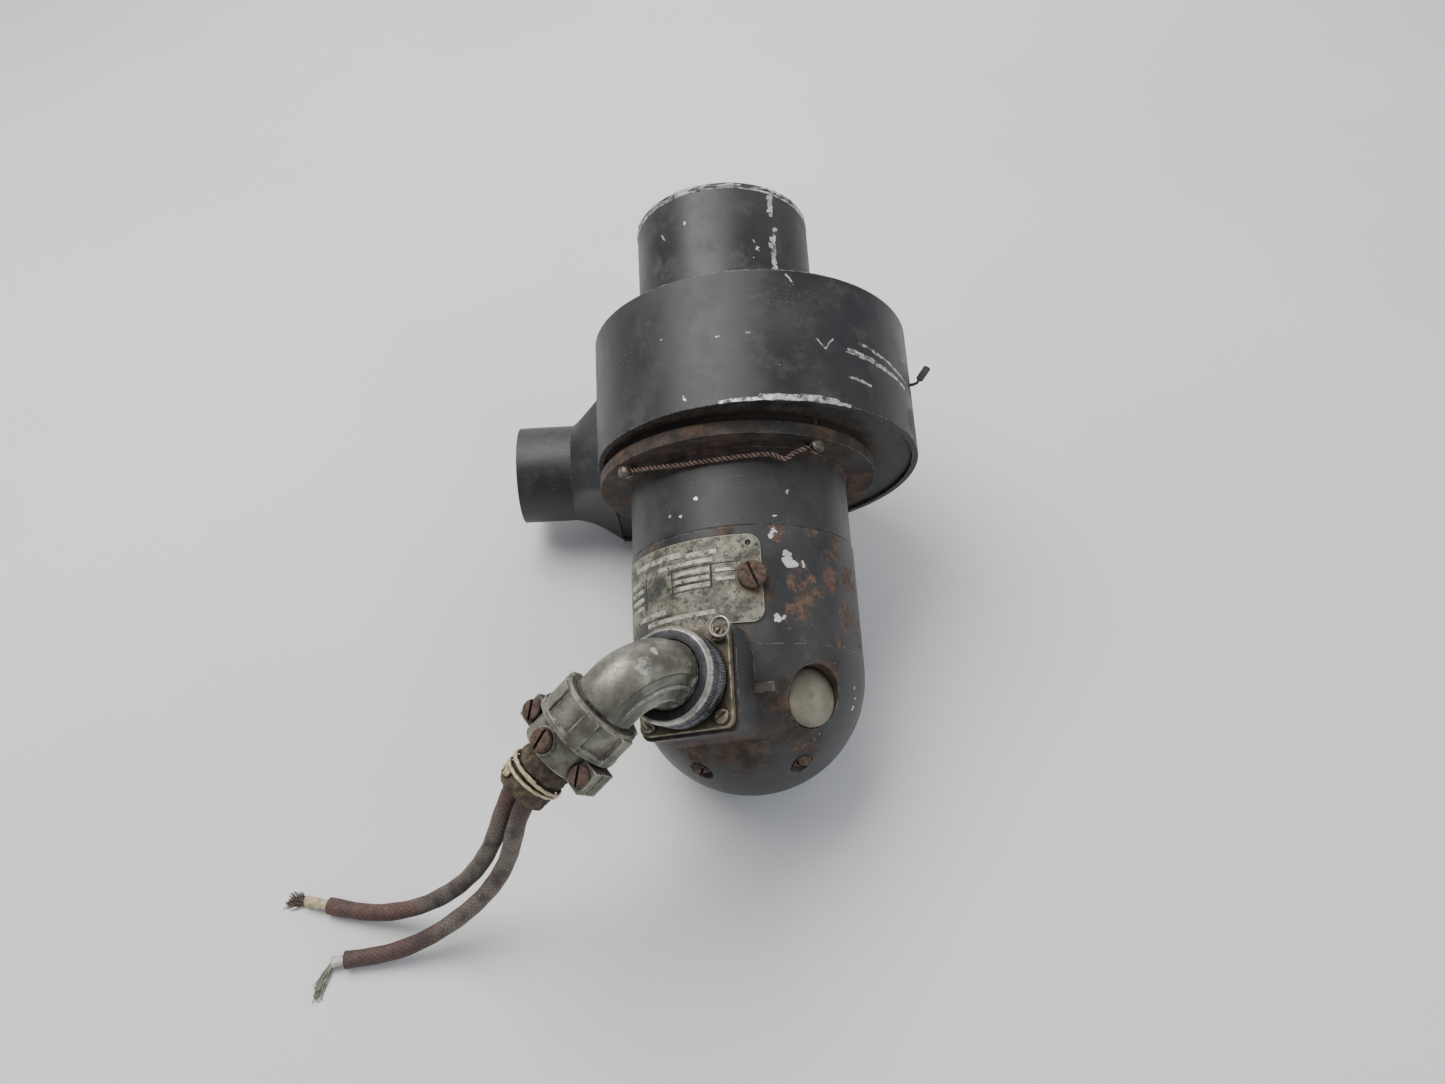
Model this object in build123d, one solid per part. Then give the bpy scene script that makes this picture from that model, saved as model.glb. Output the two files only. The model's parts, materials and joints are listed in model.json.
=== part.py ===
from build123d import *
import math
import os

# Motor-driven centrifugal boat pump: a 3 inch motor, a spiral scroll with an axial inlet
# spigot and a tangential outlet spigot, and a circular connector with an elbow backshell.
#
# Pump frame, used while modelling: Z runs along the motor axis towards the inlet, with Z = 0
# at the seam between motor frame and front housing; X points right; Y points down.
# Row frame, used in the files: Z up, X right, Y horizontal towards the inlet end. The pump
# lies on the scroll's rim and on its end bell, so the motor axis is tilted.

# ---- driving dimensions, mm ----
MOTOR_R = 38.0
FRAME_LEN = 38.2
FRAME_WALL = 2.8
HOUSING_R = 37.6
HOUSING_LEN = 26.5
BELL_SKIRT = 3.2
BELL_WALL = 3.0
FLANGE_R = 48.0
FLANGE_T = 5.0
SCROLL_START = 33.4
SCROLL_END = 79.3
SCROLL_WALL = 2.2
INLET_R = 32.0
INLET_WALL = 1.6
INLET_END = 130.0
OUTLET_R = 19.05
OUTLET_WALL = 1.6
OUTLET_MOUTH_X = -84.0
OUTLET_Y = 51.8
DUCT_START_X = -46.0
DUCT_END_X = -63.0
TONGUE_Y = 18.4
SHAFT_R = 4.0
BEARING_R = 11.0
BEARING_T = 7.0
AIR_GAP = 0.6
CORE_R = 24.3
CONNECTOR_Z = -49.6
CONNECTOR_ANGLE = 25.1
CONNECTOR_FACE = 46.5
RING_R = 14.3
ELBOW_TURN = 37.0
ELBOW_R = 9.6
ELBOW_TOP = 75.0
ELBOW_BEND = 11.0
WIRE_R = 2.75

# ---- places along the motor axis, mm ----
FRAME_START = -FRAME_LEN
BELL_CENTRE = FRAME_START - BELL_SKIRT
BELL_END = BELL_CENTRE - MOTOR_R
FLANGE_START = HOUSING_LEN
FLANGE_END = FLANGE_START + FLANGE_T
BACK_PLATE_START = 34.5
BACK_PLATE_END = 36.5
REAR_BEARING_START = -71.0
REAR_BEARING_END = REAR_BEARING_START + BEARING_T
FRONT_BEARING_START = 14.5
FRONT_BEARING_END = FRONT_BEARING_START + BEARING_T
POLE_START = -31.0
POLE_END = -3.0
BRUSH_Z = -53.5
BRUSH_ANGLES = (121.0, 301.0)
BELL_SCREW_ANGLES = (38.0, 128.0, 218.0, 308.0)
BELL_SCREW_PCR = 22.0
FLANGE_SCREW_ANGLES = (33.0, 123.0, 213.0, 303.0)
FLANGE_SCREW_PCR = 44.5
POLE_ANGLES = (91.8, 271.8)

parts = {}


# ---- helpers ----
def spot(radius, angle, z=0.0):
    """A point at an angle counted from the left side, over the top, to the right."""
    turn = math.radians(angle)
    return Vector(-radius * math.cos(turn), -radius * math.sin(turn), z)


def disc(radius, z0, z1):
    return Pos(0, 0, (z0 + z1) / 2) * Cylinder(radius, z1 - z0)


def ring(outer, inner, z0, z1):
    return disc(outer, z0, z1) - disc(inner, z0 - 1, z1 + 1)


def disc_at(radius, x, y, z0, z1):
    return Pos(x, y, 0) * disc(radius, z0, z1)


def block(x0, x1, y0, y1, z0, z1):
    centre = Pos((x0 + x1) / 2, (y0 + y1) / 2, (z0 + z1) / 2)
    return centre * Box(x1 - x0, y1 - y0, z1 - z0)


def radial_plane(angle, z):
    """Origin on the motor axis, Z pointing outwards at the angle, X along the motor axis."""
    return Plane(origin=(0, 0, z), x_dir=(0, 0, 1), z_dir=spot(1, angle))


def group(shapes):
    solids = []
    for shape in shapes:
        solids.extend(shape.solids())
    return Compound(children=solids)


def slotted_screw(head_r, head_t, shank_r, shank_len):
    """Head above Z = 0, shank below, a slot across the head."""
    head = disc(head_r, 0, head_t)
    head = fillet(head.edges().group_by(Axis.Z)[-1], head_t * 0.35)
    head -= block(-head_r, head_r, -0.45, 0.45, head_t * 0.55, head_t + 1)
    return head + disc(shank_r, -shank_len, 0)


def sector(outer, inner, z0, z1, centre_angle, half_width):
    """Part of a ring, as wide as twice half_width degrees."""
    first = centre_angle - half_width
    middle_out = spot(outer, centre_angle)
    middle_in = spot(inner, centre_angle)
    last = centre_angle + half_width
    with BuildSketch(Plane.XY.offset(z0)) as sketch:
        with BuildLine():
            ThreePointArc(spot(outer, first), middle_out, spot(outer, last))
            Line(spot(outer, last), spot(inner, last))
            ThreePointArc(spot(inner, last), middle_in, spot(inner, first))
            Line(spot(inner, first), spot(outer, first))
        make_face()
    return extrude(sketch.sketch, z1 - z0, dir=(0, 0, 1))


# ---- scroll ----
def scroll_radius(angle):
    turn = math.radians(angle)
    return 48.1 + 4.9 * turn + 0.09 * turn ** 2


SPIRAL_START = -23.5
SPIRAL_END = 274.5
SCROLL_BOTTOM = spot(scroll_radius(SPIRAL_END), SPIRAL_END).Y


def scroll_area(inset, duct_x):
    """The scroll's outline: spiral from the tongue to the bottom, then straight to the duct."""
    steps = 18
    points = []
    for step in range(steps + 1):
        angle = SPIRAL_START + (SPIRAL_END - SPIRAL_START) * step / steps
        points.append(spot(scroll_radius(angle) - inset, angle))
    low_corner = Vector(duct_x, points[-1].Y)
    high_corner = Vector(duct_x, points[0].Y)
    outline = Spline(*points)
    outline += Line(points[-1], low_corner)
    outline += Line(low_corner, high_corner)
    outline += Line(high_corner, points[0])
    return make_face(outline)


def scroll_prism(inset, duct_x, z0, z1):
    return extrude(Plane.XY.offset(z0) * scroll_area(inset, duct_x), z1 - z0)


def duct_loft(inset):
    """Transition from the scroll's rectangular throat to the round outlet."""
    z_mid = (SCROLL_START + SCROLL_END) / 2
    height = SCROLL_BOTTOM - TONGUE_Y - 2 * inset
    width = SCROLL_END - SCROLL_START - 2 * inset
    y_mid = (SCROLL_BOTTOM + TONGUE_Y) / 2
    throat = Plane(origin=(DUCT_START_X, y_mid, z_mid), x_dir=(0, 0, 1), z_dir=(-1, 0, 0))
    mouth = Plane(origin=(DUCT_END_X, OUTLET_Y, z_mid), x_dir=(0, 0, 1), z_dir=(-1, 0, 0))
    throat_area = throat * RectangleRounded(width, height, 2.5)
    mouth_area = mouth * Circle(OUTLET_R - inset)
    return loft([throat_area, mouth_area])


def outlet_pipe(radius, x0, x1):
    z_mid = (SCROLL_START + SCROLL_END) / 2
    plane = Plane(origin=(x0, OUTLET_Y, z_mid), x_dir=(0, 0, 1), z_dir=(-1, 0, 0))
    return extrude(plane * Circle(radius), x0 - x1)


def make_scroll():
    band = scroll_prism(0, DUCT_START_X, SCROLL_START, SCROLL_END)
    band -= scroll_prism(SCROLL_WALL, DUCT_START_X - 1, SCROLL_START - 1, SCROLL_END + 1)
    parts["scroll_band"] = band

    back = scroll_prism(SCROLL_WALL, DUCT_START_X, BACK_PLATE_START, BACK_PLATE_END)
    back -= disc(9.0, BACK_PLATE_START - 1, BACK_PLATE_END + 1)
    for angle in FLANGE_SCREW_ANGLES:
        hole = spot(FLANGE_SCREW_PCR, angle)
        back -= disc_at(1.75, hole.X, hole.Y, BACK_PLATE_START - 1, BACK_PLATE_END + 1)
    parts["scroll_back_plate"] = back

    cover = scroll_prism(SCROLL_WALL, DUCT_START_X, SCROLL_END - 2.2, SCROLL_END)
    cover += disc(INLET_R, SCROLL_END - 2.2, INLET_END)
    cover -= disc(INLET_R - INLET_WALL, SCROLL_END - 4, INLET_END + 1)
    parts["inlet_cover"] = cover

    outer = duct_loft(0) + outlet_pipe(OUTLET_R, DUCT_END_X, OUTLET_MOUTH_X)
    inner = duct_loft(OUTLET_WALL) + outlet_pipe(OUTLET_R - OUTLET_WALL, DUCT_END_X, OUTLET_MOUTH_X - 1)
    parts["outlet_duct"] = outer - inner

    gasket = ring(45.6, 9.0, FLANGE_END, BACK_PLATE_START)
    for angle in FLANGE_SCREW_ANGLES:
        hole = spot(FLANGE_SCREW_PCR, angle)
        gasket -= disc_at(2.0, hole.X, hole.Y, FLANGE_END - 1, BACK_PLATE_START + 1)
    parts["flange_gasket"] = gasket - band

    stem_foot = spot(scroll_radius(168.0), 168.0, 56.7)
    stem = Plane(origin=stem_foot, x_dir=(0, 0, 1), z_dir=spot(1, 168.0))
    tab = stem * disc(0.6, -0.6, 4.0)
    tab += stem * block(-1.0, 1.0, -0.5, 0.5, 3.6, 9.5)
    parts["scroll_tab"] = tab - band


# ---- front housing, flange and its fasteners ----
def make_front_housing():
    body = disc(HOUSING_R, 0, HOUSING_LEN) + disc(FLANGE_R, FLANGE_START, FLANGE_END)
    body = chamfer(body.edges().filter_by(GeomType.CIRCLE).sort_by(Axis.Z)[-1], 0.8)
    body += ring(MOTOR_R - FRAME_WALL - 0.05, 33.0, -2.5, 0)
    body -= disc(34.6, -3, 22.5)
    body += ring(15.5, BEARING_R, FRONT_BEARING_START, 23.5)
    body -= disc(BEARING_R, 0, FRONT_BEARING_END)
    body -= disc(9.0, FRONT_BEARING_END, FLANGE_END + 1)
    for angle in FLANGE_SCREW_ANGLES:
        hole = spot(FLANGE_SCREW_PCR, angle)
        body -= disc_at(2.0, hole.X, hole.Y, FLANGE_START - 1, FLANGE_END + 1)
    parts["front_housing"] = body

    screws = []
    for angle in FLANGE_SCREW_ANGLES:
        place = spot(FLANGE_SCREW_PCR, angle, FLANGE_START)
        screw = slotted_screw(2.7, 3.2, 1.7, BACK_PLATE_END - FLANGE_START)
        screw -= Pos(0, 0, 2.0) * Rot(0, 90, 0) * Cylinder(0.6, 8)
        screws.append(Location(place) * Rot(180, 0, angle) * screw)
    parts["flange_screws"] = group(screws)

    first, last = FLANGE_SCREW_ANGLES[0] + 3.9, FLANGE_SCREW_ANGLES[1] - 3.9
    wire_z = FLANGE_START - 2.0
    route = [spot(FLANGE_SCREW_PCR, first, wire_z), spot(42.5, first + 14, wire_z - 1.6)]
    route += [spot(40.6, first + 38, wire_z - 2.2), spot(41.2, last - 22, wire_z - 1.2)]
    route += [spot(43.6, last - 9, wire_z - 3.4), spot(FLANGE_SCREW_PCR, last, wire_z)]
    path = FilletPolyline(*route, radius=2.5)
    section = Plane(origin=path @ 0, z_dir=path % 0) * Circle(0.7)
    parts["lock_wire"] = sweep(section, path=path)

    seal = ring(8.98, 4.3, FRONT_BEARING_END + 1.0, FLANGE_END)
    seal -= ring(7.6, 5.2, FRONT_BEARING_END + 3.0, FLANGE_END + 1)
    parts["shaft_seal"] = seal
    parts["preload_washer"] = ring(10.8, 7.6, FRONT_BEARING_END, FRONT_BEARING_END + 0.8)


# ---- motor frame and field ----
def nameplate_corner(angle, z, side, up):
    """The material outside a rounded corner of the nameplate, as a radial prism."""
    size = 4.0
    square = block(-0.1, size + 0.1, -0.1, size + 0.1, 30, 45) - disc_at(size, size, size, 29, 46)
    if up:
        square = square.mirror(Plane.YZ)
    if side:
        square = square.mirror(Plane.XZ)
    return radial_plane(angle, z) * square


def make_motor_frame():
    frame = ring(MOTOR_R, MOTOR_R - FRAME_WALL, FRAME_START, 0)
    frame -= ring(MOTOR_R + 1, MOTOR_R - 0.5, -0.6, 1)
    screws = []
    for angle in POLE_ANGLES:
        plane = radial_plane(angle, (POLE_START + POLE_END) / 2)
        frame -= plane * disc(2.6, 30, 45)
        screw = slotted_screw(4.5, 2.4, 2.5, 8.5)
        screws.append(plane * Pos(0, 0, MOTOR_R + 0.7) * Rot(0, 0, 21) * screw)
    parts["motor_frame"] = frame
    parts["pole_screws"] = group(screws)

    plate = sector(MOTOR_R + 0.6, MOTOR_R, -31.5, -3.4, 53.5, 43.0)
    for angle, side in ((10.5, True), (96.5, False)):
        plate -= nameplate_corner(angle, -31.5, side, False)
        plate -= nameplate_corner(angle, -3.4, side, True)
    plate -= radial_plane(POLE_ANGLES[0], -17.0) * disc(2.6, 30, 45)
    for angle, z in ((90.8, -6.2), (16.0, -6.2), (16.0, -28.6)):
        plate -= radial_plane(angle, z) * disc(1.0, 30, 45)
    parts["nameplate"] = plate

    poles = []
    coils = []
    for angle in POLE_ANGLES:
        pole = sector(27.4, CORE_R + AIR_GAP, POLE_START, POLE_END, angle, 62.0)
        pole += sector(35.15, 27.0, POLE_START, POLE_END, angle, 20.0)
        plane = radial_plane(angle, (POLE_START + POLE_END) / 2)
        pole -= plane * disc(2.55, 28.6, 40)
        poles.append(pole)
        coil = sector(32.8, 27.8, POLE_START - 5.0, POLE_END + 5.0, angle, 38.0)
        coil -= sector(36.0, 27.0, POLE_START - 0.2, POLE_END + 0.2, angle, 20.4)
        coil -= ring(36, 32.4, POLE_START - 6, POLE_START - 3)
        coils.append(coil)
    parts["field_poles"] = group(poles)
    parts["field_coils"] = group(coils)


# ---- rotor ----
def make_rotor():
    shaft = disc(SHAFT_R, REAR_BEARING_START - 0.5, 68.0)
    shaft += disc(6.0, REAR_BEARING_END + 0.5, FRONT_BEARING_START - 0.5)
    shaft -= block(-1.2, 1.2, -SHAFT_R - 1, -SHAFT_R + 1.2, 42, 60)
    parts["shaft"] = shaft

    core = ring(CORE_R, 6.0, POLE_START, POLE_END)
    slots = 12
    slot_fill = []
    for index in range(slots):
        turn = Rot(0, 0, index * 360 / slots)
        core -= turn * block(13.5, 23.0, -1.9, 1.9, POLE_START - 1, POLE_END + 1)
        core -= turn * block(22.0, CORE_R + 1, -0.9, 0.9, POLE_START - 1, POLE_END + 1)
        slot_fill.append(turn * block(13.7, 22.8, -1.7, 1.7, POLE_START - 1.2, POLE_END + 1.2))
    parts["armature_core"] = core

    windings = ring(22.5, 8.5, POLE_START - 8.5, POLE_START - 1.0)
    windings = fillet(windings.edges().filter_by(GeomType.CIRCLE), 2.5)
    front = ring(22.5, 8.5, POLE_END + 1.0, POLE_END + 9.5)
    front = fillet(front.edges().filter_by(GeomType.CIRCLE), 2.5)
    for bar in slot_fill:
        windings += bar
    parts["armature_windings"] = windings + front

    parts["commutator_sleeve"] = ring(8.0, 6.0, -61.0, -43.0)
    bars = []
    for index in range(slots):
        bar = sector(11.5, 8.0, -60.5, -45.0, index * 30.0, 14.0)
        bar += sector(13.0, 8.0, -45.0, -43.2, index * 30.0, 14.0)
        bars.append(bar)
    parts["commutator_bars"] = group(bars)


def make_impeller():
    hub_start, hub_end = BACK_PLATE_END + 1.3, 61.0
    wheel = disc(8.0, hub_start, hub_end) + disc(41.0, hub_start, hub_start + 1.6)
    blades = 8
    for index in range(blades):
        with BuildLine() as curve:
            ThreePointArc((15.0, 0), (29.5, 3.6), (39.6, 10.6))
        blade = extrude(Plane.XY.offset(hub_start + 1.0) * trace(curve.line, 1.4), 71.5 - hub_start)
        wheel += Rot(0, 0, index * 360 / blades) * blade
    wheel += ring(41.0, 29.5, 71.5, 73.0)
    wheel -= ring(50, 41.0, hub_start - 1, 75)
    wheel -= disc(40, 73.0, 76.0) - disc(29.4, 72.0, 77.0)
    wheel -= disc(SHAFT_R, hub_start - 1, 90)
    wheel -= block(-1.2, 1.2, -SHAFT_R - 1.2, 0, hub_start - 1, 90) - disc(SHAFT_R, 0, 90)
    parts["impeller"] = wheel
    parts["impeller_key"] = block(-1.15, 1.15, -SHAFT_R - 1.1, -SHAFT_R + 1.2, 42.2, 59.8)
    parts["impeller_washer"] = ring(7.5, SHAFT_R, hub_end, hub_end + 1.0)
    nut = extrude(Plane.XY.offset(hub_end + 1.0) * RegularPolygon(7.0, 6), 4.5) - disc(SHAFT_R, 50, 90)
    parts["impeller_nut"] = nut


def make_bearings():
    inner = []
    outer = []
    balls = []
    cages = []
    count = 7
    for start in (REAR_BEARING_START, FRONT_BEARING_START):
        end = start + BEARING_T
        middle = (start + end) / 2
        race = Pos(0, 0, middle) * Torus(7.5, 2.05)
        inner.append(ring(6.1, SHAFT_R, start, end) - race)
        outer.append(ring(BEARING_R, 8.9, start, end) - race)
        cage = ring(8.2, 6.8, middle - 2.5, middle + 2.5)
        for index in range(count):
            turn = Rot(0, 0, index * 360 / count)
            balls.append(turn * Pos(7.5, 0, middle) * Sphere(2.0))
            cage -= turn * Pos(7.5, 0, middle) * Rot(0, 90, 0) * Cylinder(2.06, 4)
        cages.append(cage)
    parts["bearing_inner_rings"] = group(inner)
    parts["bearing_outer_rings"] = group(outer)
    parts["bearing_balls"] = group(balls)
    parts["bearing_cages"] = group(cages)


# ---- end bell, brushes and rear bearing retainer ----
def bell_solid(radius):
    """A short skirt and a hemisphere, closed by a flat face at the frame."""
    ball = Pos(0, 0, BELL_CENTRE) * Sphere(radius)
    below = block(-radius - 1, radius + 1, -radius - 1, radius + 1, BELL_CENTRE - radius - 1, BELL_CENTRE)
    return (ball & below) + disc(radius, BELL_CENTRE, FRAME_START)


connector = Plane(
    origin=(0, 0, CONNECTOR_Z),
    x_dir=(-math.cos(math.radians(CONNECTOR_ANGLE)), math.sin(math.radians(CONNECTOR_ANGLE)), 0),
    z_dir=(-math.sin(math.radians(CONNECTOR_ANGLE)), -math.cos(math.radians(CONNECTOR_ANGLE)), 0),
)
BOX_HALF = 16.0
FRAME_GAP = CONNECTOR_Z - FRAME_START
BOX_WALL = 2.6
RECEPTACLE_PITCH = 11.8


def make_end_bell():
    outer = bell_solid(MOTOR_R)
    inner = bell_solid(MOTOR_R - BELL_WALL)
    box = block(-BOX_HALF, BOX_HALF, FRAME_GAP, BOX_HALF, 12, CONNECTOR_FACE)
    box += block(-BOX_HALF, BOX_HALF, -BOX_HALF, BOX_HALF, MOTOR_R + 0.9, CONNECTOR_FACE)
    box = fillet(box.edges().filter_by(Axis.Z), 3.0)
    bell = outer + connector * box
    bell -= inner
    bell += ring(MOTOR_R - FRAME_WALL - 0.05, 33.0, FRAME_START - 1.0, FRAME_START + 2.5)
    core = disc(14.0, BELL_END + 3.0, REAR_BEARING_END)
    for angle in BELL_SCREW_ANGLES:
        post = spot(BELL_SCREW_PCR, angle)
        core += disc_at(4.0, post.X, post.Y, -74.0, REAR_BEARING_END)
    for angle in BRUSH_ANGLES:
        plane = radial_plane(angle, BRUSH_Z)
        core += plane * disc(8.2, 20.0, 32.0)
        core += plane * disc(11.2, 27.5, 36.0)
    bell += core & outer
    reach = BOX_HALF - BOX_WALL
    cavity = block(-reach, reach, FRAME_GAP + BOX_WALL, reach, 14, CONNECTOR_FACE - 2.8)
    bell -= connector * fillet(cavity.edges().filter_by(Axis.Z), 1.5)
    bell -= connector * disc(11.2, 30, 50)
    for x in (-RECEPTACLE_PITCH, RECEPTACLE_PITCH):
        for y in (-RECEPTACLE_PITCH, RECEPTACLE_PITCH):
            bell -= connector * disc_at(1.2, x, y, 38, 50)
    bell -= disc(BEARING_R, REAR_BEARING_START, -60)
    bell -= disc(8.4, REAR_BEARING_START - 2.5, -60)
    for angle in BELL_SCREW_ANGLES:
        post = spot(BELL_SCREW_PCR, angle)
        bell -= disc_at(1.8, post.X, post.Y, -90, -60)
        bell -= disc_at(3.6, post.X, post.Y, -90, -70.3)
    for angle in BRUSH_ANGLES:
        plane = radial_plane(angle, BRUSH_Z)
        bell -= plane * disc(6.4, 10, 40)
        bell -= plane * disc(9.4, 30.4, 45)
    parts["end_bell"] = bell

    retainer_end = REAR_BEARING_END + 1.6
    retainer = ring(14.5, 9.4, REAR_BEARING_END, retainer_end)
    screws = []
    for angle in BELL_SCREW_ANGLES:
        post = spot(BELL_SCREW_PCR, angle)
        arm = block(11, BELL_SCREW_PCR, -3.2, 3.2, REAR_BEARING_END, retainer_end)
        retainer += Rot(0, 0, 180 + angle) * arm
        retainer += disc_at(3.2, post.X, post.Y, REAR_BEARING_END, retainer_end)
    for angle in BELL_SCREW_ANGLES:
        post = spot(BELL_SCREW_PCR, angle)
        retainer -= disc_at(1.6, post.X, post.Y, REAR_BEARING_END - 1, REAR_BEARING_END + 3)
        screw = slotted_screw(3.2, 2.4, 1.6, retainer_end + 70.3)
        screws.append(Location((post.X, post.Y, -70.3)) * Rot(180, 0, angle * 2.3) * screw)
    retainer -= disc(9.4, REAR_BEARING_END - 1, REAR_BEARING_END + 3)
    parts["bearing_retainer"] = retainer
    parts["end_bell_screws"] = group(screws)


def make_brushes():
    holders = []
    caps = []
    for number, angle in enumerate(BRUSH_ANGLES, start=1):
        plane = radial_plane(angle, BRUSH_Z)
        holder = disc(6.35, 14.2, 30.2) - block(-3.6, 3.6, -2.6, 2.6, 10, 28)
        holder -= disc(4.5, 26.5, 31)
        holders.append(plane * holder)
        brush = block(-3.5, 3.5, -2.5, 2.5, 8, 21.4) - plane.to_local_coords(disc(11.52, -70, -40))
        parts[f"brush_{number}"] = plane * brush
        turns = 5
        spring_path = Pos(0, 0, 21.8) * Helix(pitch=(26.0 - 21.8) / turns, height=26.0 - 21.8, radius=1.9)
        wire = Plane(origin=spring_path @ 0, z_dir=spring_path % 0) * Circle(0.25)
        parts[f"brush_spring_{number}"] = plane * sweep(wire, path=spring_path, is_frenet=True)
        cap = disc(9.2, 30.6, 33.0)
        cap = fillet(cap.edges().group_by(Axis.Z)[-1], 0.6)
        cap += disc(4.4, 26.6, 30.6)
        caps.append(plane * cap)
    parts["brush_holders"] = group(holders)
    parts["brush_caps"] = group(caps)


# ---- connector: receptacle, coupling ring, plug and elbow backshell ----
RING_START = 49.9
RING_END = 60.4
FLANGE_HALF = 15.0


def make_receptacle():
    face = CONNECTOR_FACE
    gasket = block(-FLANGE_HALF, FLANGE_HALF, -FLANGE_HALF, FLANGE_HALF, face, face + 0.7)
    gasket = fillet(gasket.edges().filter_by(Axis.Z), 2.6) - disc(11.3, 40, 60)
    flange = block(-FLANGE_HALF, FLANGE_HALF, -FLANGE_HALF, FLANGE_HALF, face + 0.7, face + 2.9)
    flange = fillet(flange.edges().filter_by(Axis.Z), 2.6)
    shell = flange + disc(11.0, 38.0, face + 1) + disc(12.0, face + 2, 56.4)
    shell -= disc(10.1, 37, 57)
    screws = []
    for x in (-RECEPTACLE_PITCH, RECEPTACLE_PITCH):
        for y in (-RECEPTACLE_PITCH, RECEPTACLE_PITCH):
            shell -= disc_at(1.45, x, y, 40, 52)
            gasket -= disc_at(1.45, x, y, 40, 52)
            screw = slotted_screw(2.2, 1.7, 1.2, 7.5)
            screws.append(connector * Pos(x, y, face + 2.9) * Rot(0, 0, 20 * x + 7 * y) * screw)
    parts["receptacle"] = connector * shell
    parts["receptacle_gasket"] = connector * gasket
    parts["receptacle_screws"] = group(screws)

    insert = disc(10.05, 40.0, 48.5)
    sockets = disc(7.4, 49.2, 58.0)
    pins = []
    for x in (-3.6, 3.6):
        for y in (-3.6, 3.6):
            insert -= disc_at(0.8, x, y, 39, 50)
            sockets -= disc_at(0.9, x, y, 48, 56)
            pins.append(connector * disc_at(0.78, x, y, 37.0, 54.5))
    parts["receptacle_insert"] = connector * insert
    parts["plug_insert"] = connector * sockets
    parts["contact_pins"] = group(pins)


def make_coupling_ring():
    body = disc(RING_R, RING_START, RING_END)
    body = chamfer(body.edges().filter_by(GeomType.CIRCLE), 0.7)
    body -= disc(12.1, RING_START - 1, 59.0)
    body -= disc(10.15, 50, 65)
    body = body - ring(RING_R + 1, RING_R - 0.7, 54.2, 55.4)
    parts["coupling_ring"] = connector * body


elbow = connector.location * Rot(0, 0, ELBOW_TURN)


def elbow_solid(radius, start, tail):
    """A tube that rises from the connector and turns square to run outwards."""
    corner_z = ELBOW_TOP - ELBOW_BEND
    rise = disc(radius, start, corner_z)
    bend = revolve(Pos(0, 0, corner_z) * Circle(radius), Axis((ELBOW_BEND, 0, corner_z), (0, 1, 0)), 90)
    run = Plane(origin=(ELBOW_BEND, 0, ELBOW_TOP), x_dir=(0, 1, 0), z_dir=(1, 0, 0))
    return rise + bend + extrude(run * Circle(radius), tail)


cable_end = elbow * Plane(origin=(0, 0, ELBOW_TOP), x_dir=(0, 1, 0), z_dir=(1, 0, 0)).location


SADDLE_R = 10.6
EAR_REACH = 15.0
EAR_TOP = 4.2


def make_backshell():
    plug = disc(10.0, 50.6, 60.6) + disc(11.8, 57.0, 58.7)
    plug -= disc(7.5, 50, 62)
    parts["plug_shell"] = connector * plug

    tail = 4.0
    shell = elbow_solid(ELBOW_R, 60.6, tail)
    bore = elbow_solid(7.2, 59.0, tail + 1)
    parts["elbow_backshell"] = elbow * (shell - bore)

    nut_start, nut_end = ELBOW_BEND + tail, 25.5
    nut = disc(12.4, nut_start, nut_end)
    nut = chamfer(nut.edges().filter_by(GeomType.CIRCLE), 0.8)
    nut += ring(13.2, 10.0, nut_end - 1.6, nut_end)
    lobes = 6
    for index in range(lobes):
        nut += Rot(0, 0, index * 360 / lobes) * block(10.0, 13.2, -2.4, 2.4, nut_start + 0.6, nut_end)
    nut -= disc(7.2, nut_start - 1, nut_end + 1)
    parts["backshell_nut"] = cable_end * nut

    saddle_start, saddle_end = nut_end, 34.5
    ear_start = saddle_start + 1.1
    ear_middle = (ear_start + saddle_end) / 2
    half_span = 11.0
    lower = disc(11.6, saddle_start, saddle_start + 0.8)
    lower += block(-EAR_REACH, EAR_REACH, -4.6, -0.4, ear_start, saddle_end)
    lower += disc(SADDLE_R, saddle_start, saddle_end) & block(
        -half_span, half_span, -half_span, -0.4, saddle_start, saddle_end
    )
    upper = block(-EAR_REACH, EAR_REACH, 0.4, EAR_TOP, ear_start, saddle_end)
    upper += disc(SADDLE_R, ear_start, saddle_end) & block(
        -half_span, half_span, 0.4, half_span, ear_start, saddle_end
    )
    bore = disc(7.9, saddle_start - 1, saddle_end + 1)
    screws = []
    for x in (-12.2, 12.2):
        through = Plane(origin=(x, 0, ear_middle), x_dir=(0, 0, 1), z_dir=(0, 1, 0)).location
        lower -= through * disc(1.75, -8, 8)
        upper -= through * disc(2.0, -8, 8)
        upper -= through * disc(3.2, EAR_TOP, 12)
        screw = slotted_screw(3.0, 2.0, 1.7, 8.8)
        screws.append(cable_end * through * Pos(0, 0, EAR_TOP) * Rot(0, 0, 40) * screw)
    crown = Plane(origin=(0, 0, ear_middle), x_dir=(0, 0, 1), z_dir=(0, 1, 0)).location
    upper += crown * disc(3.9, 8.0, SADDLE_R + 0.3)
    upper -= crown * disc(1.75, 6.0, SADDLE_R + 1)
    screw = slotted_screw(3.2, 2.0, 1.6, 2.7)
    screws.append(cable_end * crown * Pos(0, 0, SADDLE_R + 0.3) * Rot(0, 0, 15) * screw)
    parts["cable_clamp_base"] = cable_end * (lower - bore)
    parts["cable_clamp_saddle"] = cable_end * (upper - bore)
    parts["clamp_screws"] = group(screws)


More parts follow.
